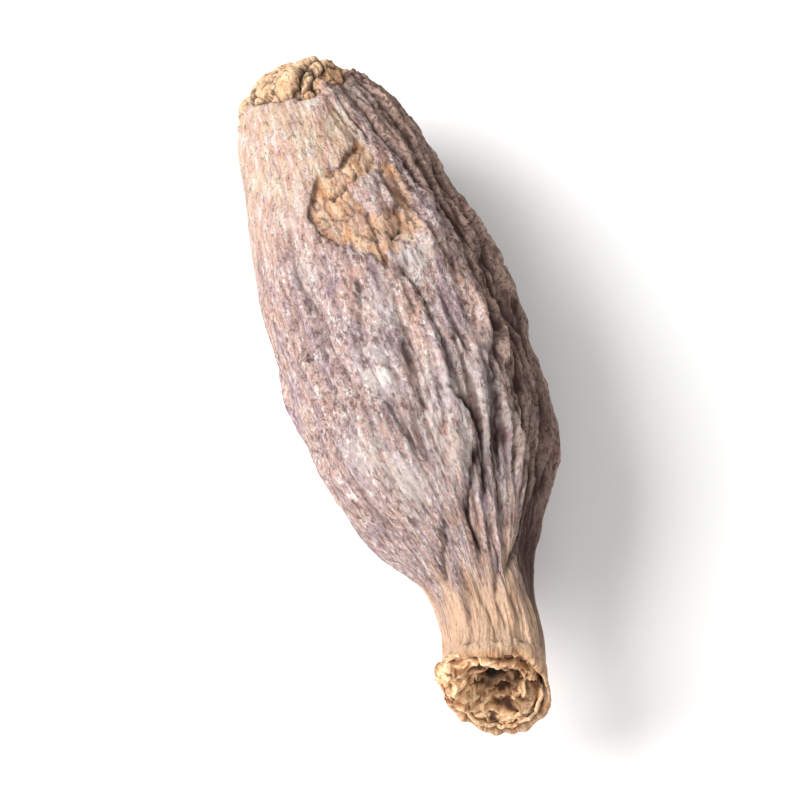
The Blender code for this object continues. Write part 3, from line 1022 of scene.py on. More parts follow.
    flakes: tuple[Places, ...] = (
        ((13.4, 13.2), (13.9, 9), (14.8, 0.8), (16.2, -5.4), (16.0, -12), (16.1, -18.4), (17.6, -22.4),
         (20, -28.2), (21, -27), (23, -24), (24.8, -19), (25.2, -14), (26.4, -11), (27.2, -5), (28.8, -3.4),
         (27.2, 0.4), (28, 5), (26.4, 8.6), (27.2, 13), (25.6, 17), (26, 21), (24, 22), (23.2, 17),
         (22.6, 12), (23, 5), (22.7, -1), (21.6, -3.4), (20.6, -4.2), (18.9, -7.4), (18.1, -5.4),
         (17.8, 0.8), (17.2, 8.4), (17, 14.4), (15.2, 14.8)),
        ((16.6, 17), (16.8, 22.6), (18.2, 25.4), (20.2, 27), (22, 23.4), (23.6, 21), (23, 16.4), (21.4, 15.4),
         (19.4, 14.8), (18, 15.6)),
    )
    scar_border: Places = (
        (-180, 3.6), (-90, 3.5), (-66, 3.6), (-53, 3.7), (-38, 4.5), (-30, 5.0), (-24, 5.6), (-18, 5.8),
        (-11, 6.0), (-8, 6.6), (-3.4, 7.0), (4.2, 6.8), (9, 5.8), (14, 5.2), (24, 5.8), (33, 5.5), (45, 4.3),
        (90, 3.4), (180, 3.6),
    )
    lip_edge: Places = (
        (-180, 71.9), (-150, 71.4), (-120, 70.4), (-85, 69.4), (-60, 69.0), (-40, 68.8), (-22, 69.0),
        (-6, 69.3), (8, 69.1), (18, 68.5), (28, 68.8), (45, 69.6), (65, 69.9), (90, 70.4), (120, 70.9),
        (150, 71.5), (180, 71.9),
    )
    bumps: tuple[tuple[float, float, float, float, float], ...] = (
        (2.9, 25, 1.5, 1.2, 1.4), (3.8, -10, 0.6, 0.9, 0.9), (2.6, -50, 0.4, 1.4, 2.2),
        (2.0, 5, 0.3, 1.5, 1.5), (70.0, 84, -0.7, 3.2, 2.6), (69.5, -90, 0.4, 1.8, 3.0),
    )
    rosy_bands: tuple[tuple[float, float, float, float], ...] = (
        (37, 2, 12, 8), (60, -12, 6, 18), (52, 6, 5, 7), (24, -80, 9, 14), (54, 40, 6, 10),
        (31, 26, 6, 7), (12, 0, 5, 10), (10, -45, 5, 12),
    )
    # Chalky bloom spots; the broad ones at (46, 10) and (40, 22) are also painted light that brightens the
    # middle of the top.
    bloom_spots: tuple[tuple[float, float, float, float], ...] = (
        (39.8, -23.0, 1.1, 1.4), (38.2, -25, 1.8, 0.8), (28, 12, 1.5, 1.0), (33, -12, 1.8, 0.6),
        (26, -40, 1.6, 0.5), (46, 10, 6, 0.6), (48, -12, 2.6, 0.5), (50, -32, 2.4, 0.5),
        (40, 22, 2.6, 0.45), (46, -46, 2.4, 0.4), (8, 32, 1.6, 0.3),
    )
    dusk_edge: Places = (
        (0, 15), (8, 15), (12, 20), (20, 29), (30, 29), (40, 25), (50, 31), (60, 50), (72, 60),
    )

    def grid(self) -> tuple[np.ndarray, np.ndarray]:
        """The husk's grid, row by row, without the two poles.

        Returns:
            The share of the profile and the turn at every point.
        """
        table = np.array(self.row_shares)
        rows = np.linspace(0, 1, self.rows + 2)[1:-1]
        share = eased(rows, table[:, 0], table[:, 1])
        turn = np.linspace(0, 2 * math.pi, self.columns, endpoint=False) - math.pi
        turn = turn - self.crowding * np.sin(turn)
        share, turn = np.meshgrid(share, turn, indexing="ij")
        return share.ravel(), turn.ravel()

    def read_profile(self, share: np.ndarray) -> tuple[np.ndarray, np.ndarray]:
        """The distance along and the half width at a share of the profile."""
        table = np.array(self.profile)
        return eased(share, table[:, 0], table[:, 1]), np.maximum(eased(share, table[:, 0], table[:, 2]), 0)

    def hidden_creases(self) -> tuple[Crease, ...]:
        """Creases like those of the top for the belly and the far side, drawn with a fixed seed.

        Returns:
            The creases.
        """
        draw = np.random.default_rng(17)
        low, high = self.hidden_turns
        found = []
        for number in range(self.hidden_count):
            turn = low + (high - low) * (number + draw.uniform(-0.3, 0.3)) / self.hidden_count
            start = draw.uniform(5, 30)
            stations = np.arange(start, min(start + draw.uniform(20, 38), 62), 4.5)
            places = tuple((along, turn + draw.uniform(-6, 6)) for along in stations)
            found.append(Crease(draw.uniform(0.8, 1.5), draw.uniform(0.8, 1.0) / 2, places))
        return tuple(found)

    def folds(self, skin: Skin) -> np.ndarray:
        """The broad folds that run along the pod: the size of a noise drawn out lengthwise, so that
        it is rounded on its ridges and sharp in its valleys."""
        return np.abs(NOISE.wander(skin.tube(13.0, 4.7), 0.45, 2, 6)) - 0.4

    def groove(self, skin: Skin, crease: Crease) -> tuple[np.ndarray, np.ndarray, np.ndarray]:
        """One crease: a groove of depth times e to the minus distance over width, steep on its raised
        side, where the skin swells up, and slow on the other. Its line wavers a little, it fades out at
        both ends, and the painted shadow at its bottom is a bell of the distance, broken up by a noise.

        Args:
            skin: The places.
            crease: The crease.

        Returns:
            The numbers of the places it touches, its relief there, and its painted shadow there.
        """
        path = smooth_path(crease.places, 3)
        chosen = skin.near(path, 4.5)
        nearby = skin.picked(chosen)
        gap, reached = nearby.path_gap(path)
        gap = gap + 0.13 * NOISE.read(nearby.tube(0.7, 17.0), 19)
        strength = ramp(reached, 0, 0.12) * (1 - ramp(reached, 0.88, 1))
        lifted = crease.raised.value
        slope = np.where(gap * lifted > 0, 0.6, 1 + 0.9 * abs(lifted))
        relief = -np.exp(-np.abs(gap) / (crease.width * slope))
        relief += 0.32 * bell(gap - lifted * 1.3, 0.9)
        broken = np.clip(0.45 + 0.35 * crease.depth + 0.8 * NOISE.read(nearby.tube(1.2, 11.0), 23), 0.15, 1)
        painted_groove_shadow = bell(gap, max(0.6 * crease.width, 0.14)) * crease.painted_groove_shadow * broken
        return chosen, crease.depth * strength * relief, strength * painted_groove_shadow

    def by_turn(self, table: Places, turn: np.ndarray) -> np.ndarray:
        """A smooth curve through a table of turns in degrees and values, read at each turn."""
        knots = np.array(table)
        return eased(np.degrees(wrapped(turn)), knots[:, 0], knots[:, 1])

    def flaked(self, skin: Skin) -> np.ndarray:
        """Where the outer skin has flaked off: inside the flakes' outlines, frayed by a noise.

        Args:
            skin: The places.

        Returns:
            1 where it has flaked off, 0 elsewhere.
        """
        flaked = np.zeros_like(skin.along)
        for outline in self.flakes:
            chosen = skin.near(outline, 2.0)
            patch = skin.picked(chosen)
            frayed = patch.inside(outline) + 0.2 * NOISE.read(patch.tube(0.8, 15.0), 83)
            flaked[chosen] = np.maximum(flaked[chosen], ramp(frayed, -0.1, 0.1))
        return flaked

    def form(self, share: np.ndarray, turn: np.ndarray) -> tuple[np.ndarray, Skin, dict[str, np.ndarray]]:
        """The husk's form: the profile round the centre line, with lumps, folds, creases and the
        flaked patch added to the half width, and the mouth torn back unevenly.

        Args:
            share: The share of the profile at each point.
            turn: The turn at each point.

        Returns:
            The points, the skin's places, and the masks found on the way.
        """
        along, half_width = self.read_profile(share)
        skin = Skin(along, turn, half_width)
        outer = 1 - ramp(share, self.lip_share - 0.02, self.lip_share + 0.01)
        folds = self.folds(skin)
        cheek = ramp(np.cos(turn - math.radians(self.cheek_turn)), 0.3, 0.8)
        cheek *= 1 - 0.4 * ramp(along, 20, 40) - 0.6 * ramp(along, 52, 62)
        resting = ramp(-np.cos(turn), 0.8, 0.95) * (1 - ramp(np.abs(along - self.line.rest_along), 8, 16))
        slender = 0.4 + 0.6 * half_width / self.half_width
        flank = 1 - 0.4 * bell(np.abs(wrapped(turn)) - 1.55, 0.35)
        calm = (1 - 0.7 * cheek) * (1 - 0.8 * resting) * (1 - 0.5 * ramp(along, 57, 64)) * flank
        lumps = self.heights.lump * NOISE.read(skin.tube(8.0, 1.5), 1)
        relief = lumps + self.heights.fold * calm * slender * folds
        # The painted shadow at the bottom of each crease, gathered with the grooves.
        painted_groove_shadow = np.zeros_like(along)
        dip = np.zeros_like(along)
        for crease in self.creases + self.hidden_creases():
            chosen, grooved, dark = self.groove(skin, crease)
            dip[chosen] += slender[chosen] * grooved
            painted_groove_shadow[chosen] = np.maximum(painted_groove_shadow[chosen], dark)
        relief += (1 - resting) * dip
        flaked = self.flaked(skin)
        relief = (relief - self.heights.flake * flaked) * outer * ramp(along, 1.5, 5.0)
        torn = ramp(along, self.lip_along - 5, self.lip_along)
        tears = NOISE.read(np.stack([0 * turn, 5 * np.cos(turn), 5 * np.sin(turn)], axis=1), 13)
        setback = torn * (self.by_turn(self.lip_edge, turn) - self.lip_along + self.heights.tear * tears)
        swell = np.zeros_like(along)
        for at, side, height, spread_along, spread_round in self.bumps:
            gap = wrapped(turn - math.radians(side)) * half_width
            swell += height * bell(along - at, spread_along) * bell(gap, spread_round)
        relief += swell * (1 - ramp(share, self.lip_share, self.lip_share + 0.04))
        reach = half_width + relief * ramp(half_width, 0, 1)
        points = self.line.points(along + setback, reach * np.sin(turn),
                                  reach * self.line.height_share * np.cos(turn))
        neck = ramp(along, *self.neck_start)
        shady = ramp(np.degrees(wrapped(turn)), *self.shaded_turns) * (1 - neck)
        masks = {"folds": folds, "dip": dip, "painted_groove_shadow": painted_groove_shadow, "flaked": flaked, "outer": outer, "cheek": cheek,
                 "resting": resting, "shady": shady, "swell": swell, "neck": neck}
        return points, skin, masks

    def normals(self, points: np.ndarray) -> np.ndarray:
        """Each grid point's outward normal: the cross product of the steps to its neighbours along
        the pod and round it.

        Args:
            points: The grid's points.

        Returns:
            One unit vector for each point.
        """
        grid = points.reshape(self.rows, self.columns, 3)
        onward = np.gradient(grid, axis=0)
        around = np.roll(grid, -1, axis=1) - np.roll(grid, 1, axis=1)
        normal = np.cross(onward, around)
        normal /= np.maximum(np.linalg.norm(normal, axis=2, keepdims=True), 1e-9)
        return normal.reshape(-1, 3)

    def wrinkles(self, skin: Skin) -> dict[str, np.ndarray]:
        """The skin's finer relief, in three sizes: narrow folds, wrinkles between them, and a net of
        low ridges where a noise crosses zero.

        Args:
            skin: The places.

        Returns:
            The relief of each size, from about -1 to 1, before its height.
        """
        net = 1 - np.abs(NOISE.wander(skin.tube(1.5, 19.0), 0.7, 41, 45)) * 3
        return {
            "narrow": np.abs(NOISE.wander(skin.tube(12.0, 9.0), 0.5, 21, 25)) - 0.35,
            "wrinkle": np.abs(NOISE.wander(skin.tube(6.0, 17.0), 0.5, 31, 35)) - 0.35,
            "net": np.maximum(net, 0),
        }

    def scarred(self, points: np.ndarray, scar: np.ndarray, masks: dict[str, np.ndarray]) -> np.ndarray:
        """The scar's crumbly relief: angular blocks of unlike level with joints between them, and
        crumbs on them, folded by the size of a noise. Marks its joints and pits for painted shade, and its
        raised blocks for painted highlight.

        Args:
            points: The form's points.
            scar: 1 on the scar, 0 off it.
            masks: The form's masks.

        Returns:
            The relief.
        """
        joint, level = NOISE.blocks(NOISE.swerve(points / 2.6, 59, 0.55), 64)
        crumb = 0.4 - np.abs(NOISE.wander(points / 0.7, 0.5, 62, 65))
        masks["pitted"] = scar * np.maximum(np.exp(-((joint / 0.07) ** 2)), 0.6 * ramp(-crumb, 0.0, 0.3))
        masks["level"] = scar * np.clip(ramp(level, -0.5, 0.9) + 0.8 * masks["swell"], 0, 1)
        high = self.heights
        return scar * (high.block * level - high.joint * np.exp(-joint / 0.06) + high.crumb * crumb)

    def build(self) -> bpy.types.Object:
        """Makes the husk, its attributes and its material.

        Returns:
            The husk's object.
        """
        share, turn = self.grid()
        points, skin, masks = self.form(share, turn)
        high, fine = self.heights, self.wrinkles(skin)
        along, shady = skin.along, masks["shady"]
        edge_noise = NOISE.read(skin.tube(2.0, 6.0), 51)
        scar = 1 - ramp(along - self.by_turn(self.scar_border, turn) - 0.15 * edge_noise, -0.12, 0.12)
        smooth = (1 - 0.5 * masks["cheek"]) * (1 - 0.7 * masks["resting"]) * (1 - 0.7 * masks["flaked"])
        slender = 0.45 + 0.55 * skin.half_width / self.half_width
        limb = 1 - 0.5 * ramp(np.abs(np.degrees(wrapped(turn))), 68, 85)
        relief = (high.narrow + high.narrow_shaded * shady) * fine["narrow"]
        relief += (high.wrinkle + high.wrinkle_shaded * shady) * fine["wrinkle"] + high.net * fine["net"]
        relief *= limb * slender * smooth * (1 - 0.8 * masks["neck"]) * masks["outer"] * (1 - scar)
        relief += self.scarred(points, scar, masks)
        creased = 0.35 - np.abs(NOISE.wander(points / 2.2, 0.5, 73, 75))
        relief += ramp(share, self.lip_share - 0.01, self.lip_share + 0.02) * high.lip_crumple * creased
        plate = np.abs(NOISE.wander(skin.tube(3.0, 7.0), 0.5, 84, 87))
        plates = high.plate * NOISE.read(skin.tube(1.6, 9.0), 81) - high.plate_crack * np.exp(-plate / 0.07)
        relief += masks["flaked"] * plates
        # The flaked patch's cracks get painted shade too.
        masks["pitted"] = np.maximum(masks["pitted"], masks["flaked"] * 0.8 * np.exp(-plate / 0.05))
        # Painted shadow at the bottom of the creases and the cracks.
        painted_groove_shadow = masks["painted_groove_shadow"] * masks["outer"]
        for crack in self.cracks:
            chosen, grooved, dark = self.groove(skin, crack)
            relief[chosen] += grooved
            painted_groove_shadow[chosen] = np.maximum(painted_groove_shadow[chosen], dark)
        rested = points[:, 2] < self.flat_depth
        points = points + self.normals(points) * np.where(rested, 0, relief)[:, None]
        points[:, 2] = np.maximum(points[:, 2], 0)
        made = put_closed("husk_skin", points, self.columns)
        masks["scar"], masks["painted_groove_shadow"] = scar, painted_groove_shadow
        self.dress(made, skin, share, masks, fine)
        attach(made, "root")
        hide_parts("husk")
        return made

    def dress(self, made: bpy.types.Object, skin: Skin, share: np.ndarray, masks: dict[str, np.ndarray],
              fine: dict[str, np.ndarray]) -> None:
        """Keeps the masks that the finish reads, and gives the husk its material.

        Args:
            made: The husk's object.
            skin: The places.
            share: The share of the profile at each point.
            masks: The form's masks.
            fine: The finer relief.
        """
        along, degrees, scar = skin.along, np.degrees(wrapped(skin.turn)), masks["scar"]
        drift = NOISE.read(skin.tube(6.0, 3.0), 91)
        stir = NOISE.wander(skin.tube(3.0, 6.0), 0.6, 92, 95)
        shady = masks["shady"]
        finer = (0.4 + 0.7 * shady) * (fine["narrow"] + fine["wrinkle"])
        height = (1.1 - 0.2 * shady) * masks["folds"] + finer + 0.5 * masks["dip"]
        height = height * (1 - 0.4 * masks["cheek"]) * (1 - 0.7 * masks["neck"]) * (1 - scar)
        cream = (1 - ramp(degrees + 3 * drift, 8, 19)) * ramp(degrees, -160, -85)
        cream *= 1 - ramp(along + 4 * drift + 3 * stir, 12, 27)
        # The far side's brown, and a fainter one on the far left: partly the skin's own tone and partly
        # painted shade.
        edge = eased(along, *np.array(self.dusk_edge).T)
        brown_and_painted_shade = ramp(degrees + 4 * drift - edge, 0, 13) * (1 - 0.35 * ramp(degrees, 100, 150))
        brown_and_painted_shade = np.where(degrees < -100, ramp(-degrees, 110, 175) * 0.65, brown_and_painted_shade)
        neck = ramp(along + 2.5 * drift + 1.5 * stir, 57, 64)
        rosy = 0.35 + 0.45 * stir
        for at, side, spread_along, spread_round in self.rosy_bands:
            rosy += 0.8 * bell(along - at, spread_along) * bell(degrees + 3 * stir - side, spread_round)
        # Chalky bloom; the broad spots also stand as painted light on the middle of the top.
        bloom_and_painted_light = np.zeros_like(along)
        for at, side, spread, strength in self.bloom_spots:
            gap = wrapped(np.radians(degrees - side)) * skin.half_width
            bloom_and_painted_light = np.maximum(bloom_and_painted_light, strength * bell(along - at, spread * 1.3) * bell(gap, spread))
        # Painted shade in the valleys of the relief, stronger on the furrowed side.
        painted_shade = ramp(-height, 0.2 + 0.1 * shady, 0.8 + 0.2 * shady) * masks["outer"]
        # Painted shade: a dark band along the right limb of the body and of the neck.
        shade = (0.3 * ramp(along, 30, 44) + 0.5 * ramp(along, 52, 58)) * (1 - ramp(along + 3 * stir, 62, 71))
        shade *= ramp(degrees + 8 * stir, 54, 72) * (1 - ramp(degrees + 8 * drift, 80, 110))
        flaked = masks["flaked"] * np.clip(0.72 + 0.5 * stir, 0, 1)
        values = {
            # Painted shade: the valleys, the inside of the mouth, the scar's joints and pits, the flaked
            # patch's cracks, and the band along the right limb.
            "painted_shade": np.maximum.reduce([painted_shade, ramp(share, 0.885, 0.94), masks["pitted"], shade]),
            # Ridge height and the scar's raised blocks: painted highlight on the far side and the torn parts,
            # and a rosier lit side.
            "ridge": np.maximum(ramp(height, -0.05, 0.5) * (1 - scar), masks["level"]),
            "cream": cream,
            "rosy": np.clip(rosy, 0, 1),
            # The far side's brown, partly the skin's own tone and partly painted shade.
            "brown_and_painted_shade": brown_and_painted_shade * (1 - 0.7 * neck),
            "neck": neck,
            "straw": np.maximum.reduce([scar, flaked, 1 - masks["outer"]]),
            "bloom_and_painted_light": bloom_and_painted_light * ramp(fine["net"] + 0.6 * stir, -0.1, 0.5),
            # Painted shadow at the bottom of the creases and the cracks.
            "painted_groove_shadow": np.clip(masks["painted_groove_shadow"], 0, 1) * 0.88,
        }
        for name, value in values.items():
            put_values(made, name, with_poles(value))
        swelling = np.maximum.accumulate(skin.half_width.reshape(self.rows, self.columns), axis=0).ravel()
        place = np.stack([along, swelling * np.cos(skin.turn), swelling * np.sin(skin.turn)], axis=1)
        put_values(made, "skin_place", with_poles(place))
        made.data.materials.append(self.finish.material())


@dataclass(frozen=True)
class Sheet:
    """One thin crumpled sheet of the withered flower, standing round the mouth's axis.

    Attributes:
        name: The piece's name.
        turns: Its first and last turn, in degrees.
        path: Its rise from root to edge as (share, radius, height) stations.
        crumple: How far it is crumpled.
        seed: Picks its crumples.
    """

    name: str
    turns: tuple[float, float]
    path: tuple[tuple[float, float, float], ...]
    crumple: float
    seed: int


@dataclass
class WitheredFlower:
    """The flower's dry remains: crumpled tissue that fills the mouth, with thin sheets standing in it.

    Attributes:
        line: The pod's bent axis.
        finish: The paper's material.
        root_along: How far along the pod the flower's root is.
        tilt: The mouth's lean, as rise towards the pod's underside.
        thickness: A sheet's thickness.
        rows: Points from a sheet's root to its edge.
        columns_a_turn: Points across a sheet that goes right round.
        fewest_columns: The fewest points across a sheet.
        sheets: The large sheets.
        shred_count: How many small sheets stand between them.
        shred_turns: Where the shreds start, and over how far they spread, in degrees.
        shred_crumple: How far the shreds are crumpled.
        tissue_rows: Rings of points from the tissue's middle to its back.
        tissue_columns: Points in a ring.
        tissue_reach: The tissue's radius.
        tissue_rise: How far it stands above the root.
        hole_depth: How deep the hole in its middle is.
        hole: Where the hole lies, sideways and up; it holds painted shade.
        right_painted_shade: Where the painted shade on the right of the tissue lies.
        lower_painted_shadow: Where the painted shadow by the lower lip lies.
        brim: The share of the rings that are in front.
        heaps: Turn, radius, spread and height of heaps, and of hollows where the height is below 0.
    """

    line: CentreLine = field(default_factory=CentreLine)
    finish: PaperFinish = field(default_factory=PaperFinish)
    root_along: float = 66.9
    tilt: float = 0.33
    thickness: float = 0.34
    rows: int = 44
    columns_a_turn: int = 260
    fewest_columns: int = 30
    sheets: tuple[Sheet, ...] = (
        Sheet("flower_outer_sheet", (98, 250),
              ((0, 3.0, 0), (0.6, 3.8, 2.2), (0.85, 3.9, 3.2), (1, 3.6, 3.7)), 0.3, 101),
        Sheet("flower_middle_sheet", (124, 228),
              ((0, 2.4, 0), (0.6, 3.0, 2.2), (0.85, 3.1, 3.3), (1, 2.7, 3.7)), 0.45, 111),
        Sheet("flower_tucked_sheet", (-150, -95),
              ((0, 1.8, 0), (0.6, 2.6, 2.2), (0.85, 3.2, 3.2), (1, 3.9, 3.5)), 0.5, 141),
        Sheet("flower_curled_tip", (12, 34),
              ((0, 3.2, 1.0), (0.5, 3.9, 2.2), (0.8, 3.6, 3.0), (1, 2.8, 2.8)), 0.2, 151),
    )
    shred_count: int = 6
    shred_turns: tuple[float, float] = (70.0, 170.0)
    shred_crumple: float = 0.55
    tissue_rows: int = 170
    tissue_columns: int = 300
    tissue_reach: float = 4.3
    tissue_rise: float = 3.4
    hole_depth: float = 3.3
    hole: tuple[float, float] = (-0.5, -0.5)
    right_painted_shade: tuple[float, float] = (2.6, -0.8)
    lower_painted_shadow: tuple[float, float] = (-2.3, -3.2)
    brim: float = 0.8
    heaps: tuple[tuple[float, float, float, float], ...] = (
        (-70, 4.2, 1.3, 1.6), (-108, 4.4, 1.1, 0.8), (-144, 3.9, 0.8, -2.0), (92, 2.3, 1.0, -1.1),
        (172, 2.9, 1.0, 0.5), (-15, 3.7, 0.9, 0.5),
    )

    def shreds(self) -> tuple[Sheet, ...]:
        """Short narrow sheets between the large ones, drawn with a fixed seed: their turns step round
        the mouth, and each one's radius, height and lean differ a little.

        Returns:
            The sheets.
        """
        draw = np.random.default_rng(23)
        made = []
        for number in range(self.shred_count):
            start, spread = self.shred_turns
            middle = start + spread * (number + draw.uniform(-0.3, 0.3)) / self.shred_count
            half, radius = draw.uniform(12, 26), draw.uniform(1.8, 3.6)
            height, lean = draw.uniform(2.8, 3.8), draw.uniform(-0.7, 0.5)
            path = ((0, radius - 0.5, 0), (0.6, radius, 0.6 * height), (1, radius + lean, height))
            turns, seed = (middle - half, middle + half), 200 + 10 * number
            made.append(Sheet(f"flower_shred_{number + 1}", turns, path, self.shred_crumple, seed))
        return tuple(made)

    def crater(self) -> tuple[np.ndarray, np.ndarray, np.ndarray, np.ndarray]:
        """The tissue's smooth form: a crater as tilted as the lip, with a lobe that hangs over it on the
        left, and with heaps and hollows of height times e to the minus square of distance over spread.
        Past its brim it closes behind.

        Returns:
            The share of the way from its middle to its back, and its rise, side and up.
        """
        share, turn = np.meshgrid(np.linspace(0, 1, self.tissue_rows + 2)[1:-1],
                                  np.linspace(math.pi, -math.pi, self.tissue_columns, endpoint=False),
                                  indexing="ij")
        share, turn = share.ravel(), turn.ravel()
        reach = self.tissue_reach + 1.7 * bell(wrapped(turn + math.radians(72)), 0.55)
        reach -= 0.5 * bell(wrapped(turn - 1.5), 0.6)
        front, behind = share < self.brim, (1 - share) / (1 - self.brim)
        out = np.where(front, share / self.brim, behind) * reach
        side, up = out * np.sin(turn), out * np.cos(turn)
        rise = self.tissue_rise - self.hole_depth * (1 - ramp(out, 0.6, 3.1))
        rise -= 0.9 * ramp(out / reach, 0.75, 1)
        for degrees, radius, spread, height in self.heaps:
            angle = math.radians(degrees)
            gap = np.hypot(side - radius * math.sin(angle), up - radius * math.cos(angle))
            rise += height * bell(gap, spread)
        rise -= self.tilt * up
        return share, np.where(front, rise, rise * behind), side, up

    def tissue(self) -> bpy.types.Object:
        """The crumpled tissue: the crater with every point pushed about by noise, folded by the sizes of
        a coarse and a fine noise, and with long folds to the right of its hole.

        Returns:
            The closed tissue, with its attributes.
        """
        share, rise, side, up = self.crater()
        place = np.stack([rise, side, up], axis=1)
        fold, pleat = (NOISE.wander(place / size, 0.6, seed, seed + 4)
                       for size, seed in ((1.5, 301), (0.75, 311)))
        lengthy = NOISE.wander(place / (1.5, 2.6, 1.2), 0.4, 331, 335)
        fold += ramp(side, -2.0, 0.0) * (lengthy - fold)
        push = np.stack([NOISE.read(place / 1.3, seed) for seed in (321, 322, 323)], axis=1)
        hole, right, lower = (np.hypot(side - at_side, up - at_up)
                              for at_side, at_up in (self.hole, self.right_painted_shade, self.lower_painted_shadow))
        loose = 0.3 + 0.7 * ramp(hole, 0.8, 2.2)
        place += (0.5 * loose)[:, None] * push
        place[:, 0] += loose * (0.9 * (0.35 - np.abs(fold)) + 0.4 * (0.35 - np.abs(pleat)))
        points = self.line.points(self.root_along + place[:, 0], place[:, 1], place[:, 2])
        made = put_closed("flower_tissue", points, self.tissue_columns)
        crease = 0.7 * np.abs(fold) + 0.4 * np.abs(pleat)
        # Painted shade: bark brown in the hole, on the right, in the gap by the lower lip, and behind the
        # brim.
        dark = np.maximum.reduce([
            1 - ramp(hole + 0.5 * fold, 0.4, 1.7), 0.45 * (1 - ramp(right, 0.8, 2.6)),
            1 - ramp(lower + 0.3 * pleat, 0.4, 1.3), ramp(share, self.brim, 1),
        ])
        put_values(made, "root", with_poles(dark))
        # Painted highlight on the fold ridges.
        put_values(made, "painted_rim_highlight", with_poles(1 - ramp(crease, 0.04, 0.2)))
        # Painted shade in the folds.
        put_values(made, "crease", with_poles(ramp(crease, 0.15, 0.55)))
        put_values(made, "sheet_place", with_poles(points))
        return made

    def surface(self, sheet: Sheet) -> tuple[np.ndarray, np.ndarray, np.ndarray, int]:
        """A sheet's points: the path turned round the axis, its edge ragged by a noise of the turn,
        and the whole folded by the size of one noise and crumpled by two finer ones.

        Args:
            sheet: The sheet.

        Returns:
            The points, the rise of each, how deep in a fold each lies, and the number of columns.
        """
        low, high = (math.radians(turn) for turn in sheet.turns)
        columns = max(self.fewest_columns, round(self.columns_a_turn * (high - low) / (2 * math.pi)))
        rise, turn = np.meshgrid(np.linspace(0, 1, self.rows), np.linspace(low, high, columns), indexing="ij")
        rise, turn = rise.ravel(), turn.ravel()
        path = np.array(sheet.path)
        circle = np.stack([np.cos(turn), np.sin(turn), 0 * turn], axis=1)
        ragged = NOISE.read(circle * 2.2, sheet.seed) + 0.5 * NOISE.read(circle * 7, sheet.seed + 1)
        taper = ramp(np.minimum(turn - low, high - turn), -0.1, 0.35)
        reached = rise * (0.55 + 0.45 * taper) * (1 + 0.2 * ragged)
        radius = eased(np.clip(reached, 0, 1), path[:, 0], path[:, 1])
        height = eased(np.clip(reached, 0, 1), path[:, 0], path[:, 2])
        place = circle * radius[:, None]
        place[:, 2] = height
        folds = 0.35 - np.abs(NOISE.wander(place * 0.6, 0.6, sheet.seed + 2, sheet.seed + 5))
        crumple = 0.35 * NOISE.read(place * 1.7, sheet.seed + 6)
        crumple += 0.15 * NOISE.read(place * 3.4, sheet.seed + 7)
        lift = NOISE.read(place * 0.7, sheet.seed + 8)
        loose = sheet.crumple * ramp(rise, 0, 0.5)
        place += circle * (loose * (1.5 * folds + crumple))[:, None]
        place[:, 2] += loose * (0.9 * lift + 0.3 * folds)
        limit = 3.0 + 1.2 * ramp(place[:, 2], 0, 2.2) + 2.0 * ramp(place[:, 2], 1.8, 3.0)
        reach = np.hypot(place[:, 0], place[:, 1])
        shrink = np.where(reach > limit, (limit + 0.3 * (reach - limit)) / np.maximum(reach, 1e-9), 1)
        lifted = place[:, 2] - self.tilt * place[:, 0] * ramp(rise, 0, 0.6)
        points = self.line.points(self.root_along + lifted, place[:, 1] * shrink, place[:, 0] * shrink)
        return points, rise, np.maximum(0, -folds), columns

    def build(self) -> list[bpy.types.Object]:
        """Makes the tissue and every sheet, with the sheets' walls and the material.

        Returns:
            The pieces.
        """
        material = self.finish.material()
        made = [self.tissue()]
        for sheet in self.sheets + self.shreds():
            points, rise, depth, columns = self.surface(sheet)
            piece = put_points(sheet.name, points, ring_faces(self.rows, columns, closed=False))
            # Painted shade towards the root and in the folds.
            put_values(piece, "root", 1 - ramp(rise, 0.2, 0.9))
            # Painted highlight along the top edge.
            put_values(piece, "painted_rim_highlight", 0.8 * ramp(rise, 0.9, 1.0))
            put_values(piece, "crease", ramp(depth, 0.0, 0.45))
            put_values(piece, "sheet_place", points)
            wall = piece.modifiers.new("wall", "SOLIDIFY")
            wall.thickness = self.thickness * MM
            wall.offset = 0
            made.append(piece)
        for piece in made:
            piece.data.materials.append(material)
            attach(piece, "root")
            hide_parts("withered_flower")
        return made


@dataclass(frozen=True)
class Lamp:
    """A square soft light.

    Attributes:
        name: The light's name.
        towards: Its direction from the pod, in the view's right, up and back.
        distance: How far away it is, in millimetres.
        side: Its width, in millimetres.
        power: Its power in watts.
    """

    name: str
    towards: tuple[float, float, float]
    distance: float
    side: float
    power: float


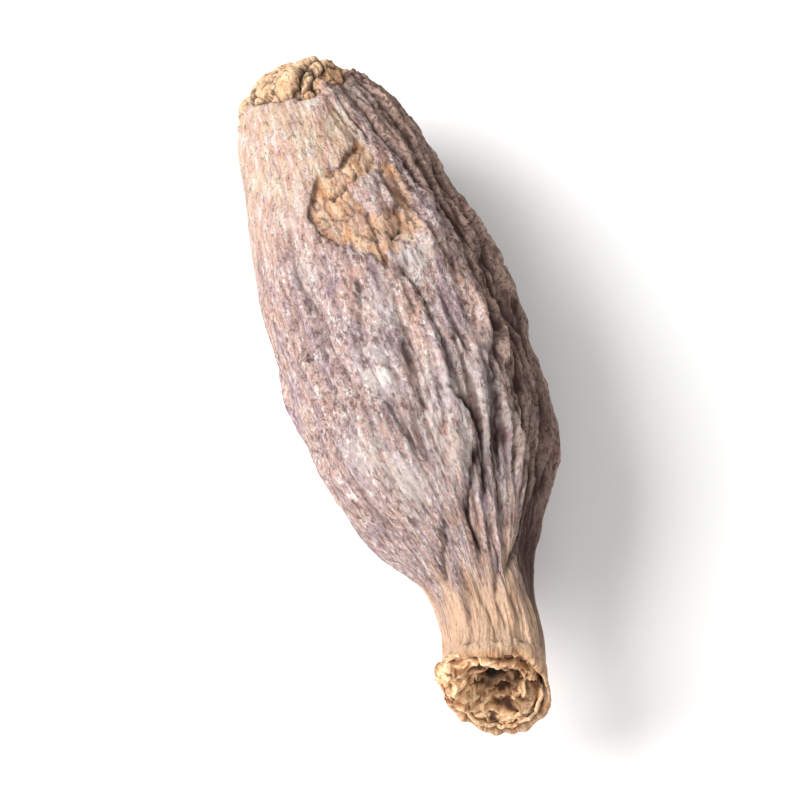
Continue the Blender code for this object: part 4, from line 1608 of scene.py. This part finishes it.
@dataclass
class Studio:
    """The pale floor, the soft lights and the camera, whose view is given by its turn from the -Y side,
    its height in degrees, its lens and the width of the picture at the pod."""

    azimuth: float = 75.0
    elevation: float = 63.0
    lens: float = 220.0
    frame_width: float = 77.0
    target: tuple[float, float, float] = (6.26, -1.27, 10.46)
    floor_half: float = 600.0
    nearest: float = 10.0
    ambience: float = 0.39
    lamps: tuple[Lamp, ...] = (
        Lamp("key_light", (-0.82, 0.32, 0.6), 600, 480, 6.4),
        Lamp("fill_light", (0.2, -0.2, 1.0), 900, 700, 2.7),
    )

    def axes(self) -> tuple[Vector, Vector, Vector]:
        """The view's own directions.

        Returns:
            Right, up and back.
        """
        turn, lift = math.radians(self.azimuth), math.radians(self.elevation)
        back = Vector((math.sin(turn) * math.cos(lift), -math.cos(turn) * math.cos(lift), math.sin(lift)))
        right = Vector((math.cos(turn), math.sin(turn), 0))
        return right, back.cross(right), back

    def camera(self) -> None:
        """A long lens that looks down at the pod from the neck's side."""
        data = bpy.data.cameras.new("camera")
        data.lens = self.lens
        data.clip_start = self.nearest * MM
        camera = bpy.data.objects.new("camera", data)
        bpy.context.scene.collection.objects.link(camera)
        distance = self.frame_width * MM * self.lens / data.sensor_width
        back = self.axes()[2]
        camera.location = Vector(self.target) * MM + back * distance
        camera.rotation_euler = back.to_track_quat("Z", "Y").to_euler()
        bpy.context.scene.camera = camera

    def light(self, lamp: Lamp) -> None:
        """Makes one light, which faces the pod.

        Args:
            lamp: The light.
        """
        right, up, back = self.axes()
        data = bpy.data.lights.new(lamp.name, "AREA")
        data.size = lamp.side * MM
        data.energy = lamp.power
        light = bpy.data.objects.new(lamp.name, data)
        bpy.context.scene.collection.objects.link(light)
        across, above, behind = lamp.towards
        offset = (right * across + up * above + back * behind).normalized()
        light.location = Vector(self.target) * MM + offset * lamp.distance * MM
        light.rotation_euler = offset.to_track_quat("Z", "Y").to_euler()

    def build(self) -> None:
        """Makes the floor, the lights, the world and the camera."""
        corners = self.floor_half * np.array([(-1.0, -1, 0), (1, -1, 0), (1, 1, 0), (-1, 1, 0)])
        floor = put_points("pale_floor", corners, [(0, 1, 2, 3)])
        floor.data.materials.append(FloorFinish().material())
        for lamp in self.lamps:
            self.light(lamp)
        world = bpy.data.worlds.new("soft_world")
        world.use_nodes = True
        background = world.node_tree.nodes["Background"]
        background.inputs["Color"].default_value = (1, 1, 1, 1)
        background.inputs["Strength"].default_value = self.ambience
        bpy.context.scene.world = world
        bpy.context.scene.view_settings.view_transform = "Standard"
        self.camera()


def main() -> None:
    """Builds the pod and the studio round it, and logs each piece's face count."""
    logging.basicConfig(level=logging.INFO)
    husk = Husk().build()
    LOG.info("%s: %d faces", husk.name, len(husk.data.polygons))
    for sheet in WitheredFlower().build():
        LOG.info("%s: %d faces", sheet.name, len(sheet.data.polygons))
    Studio().build()


if __name__ == "__main__":
    main()
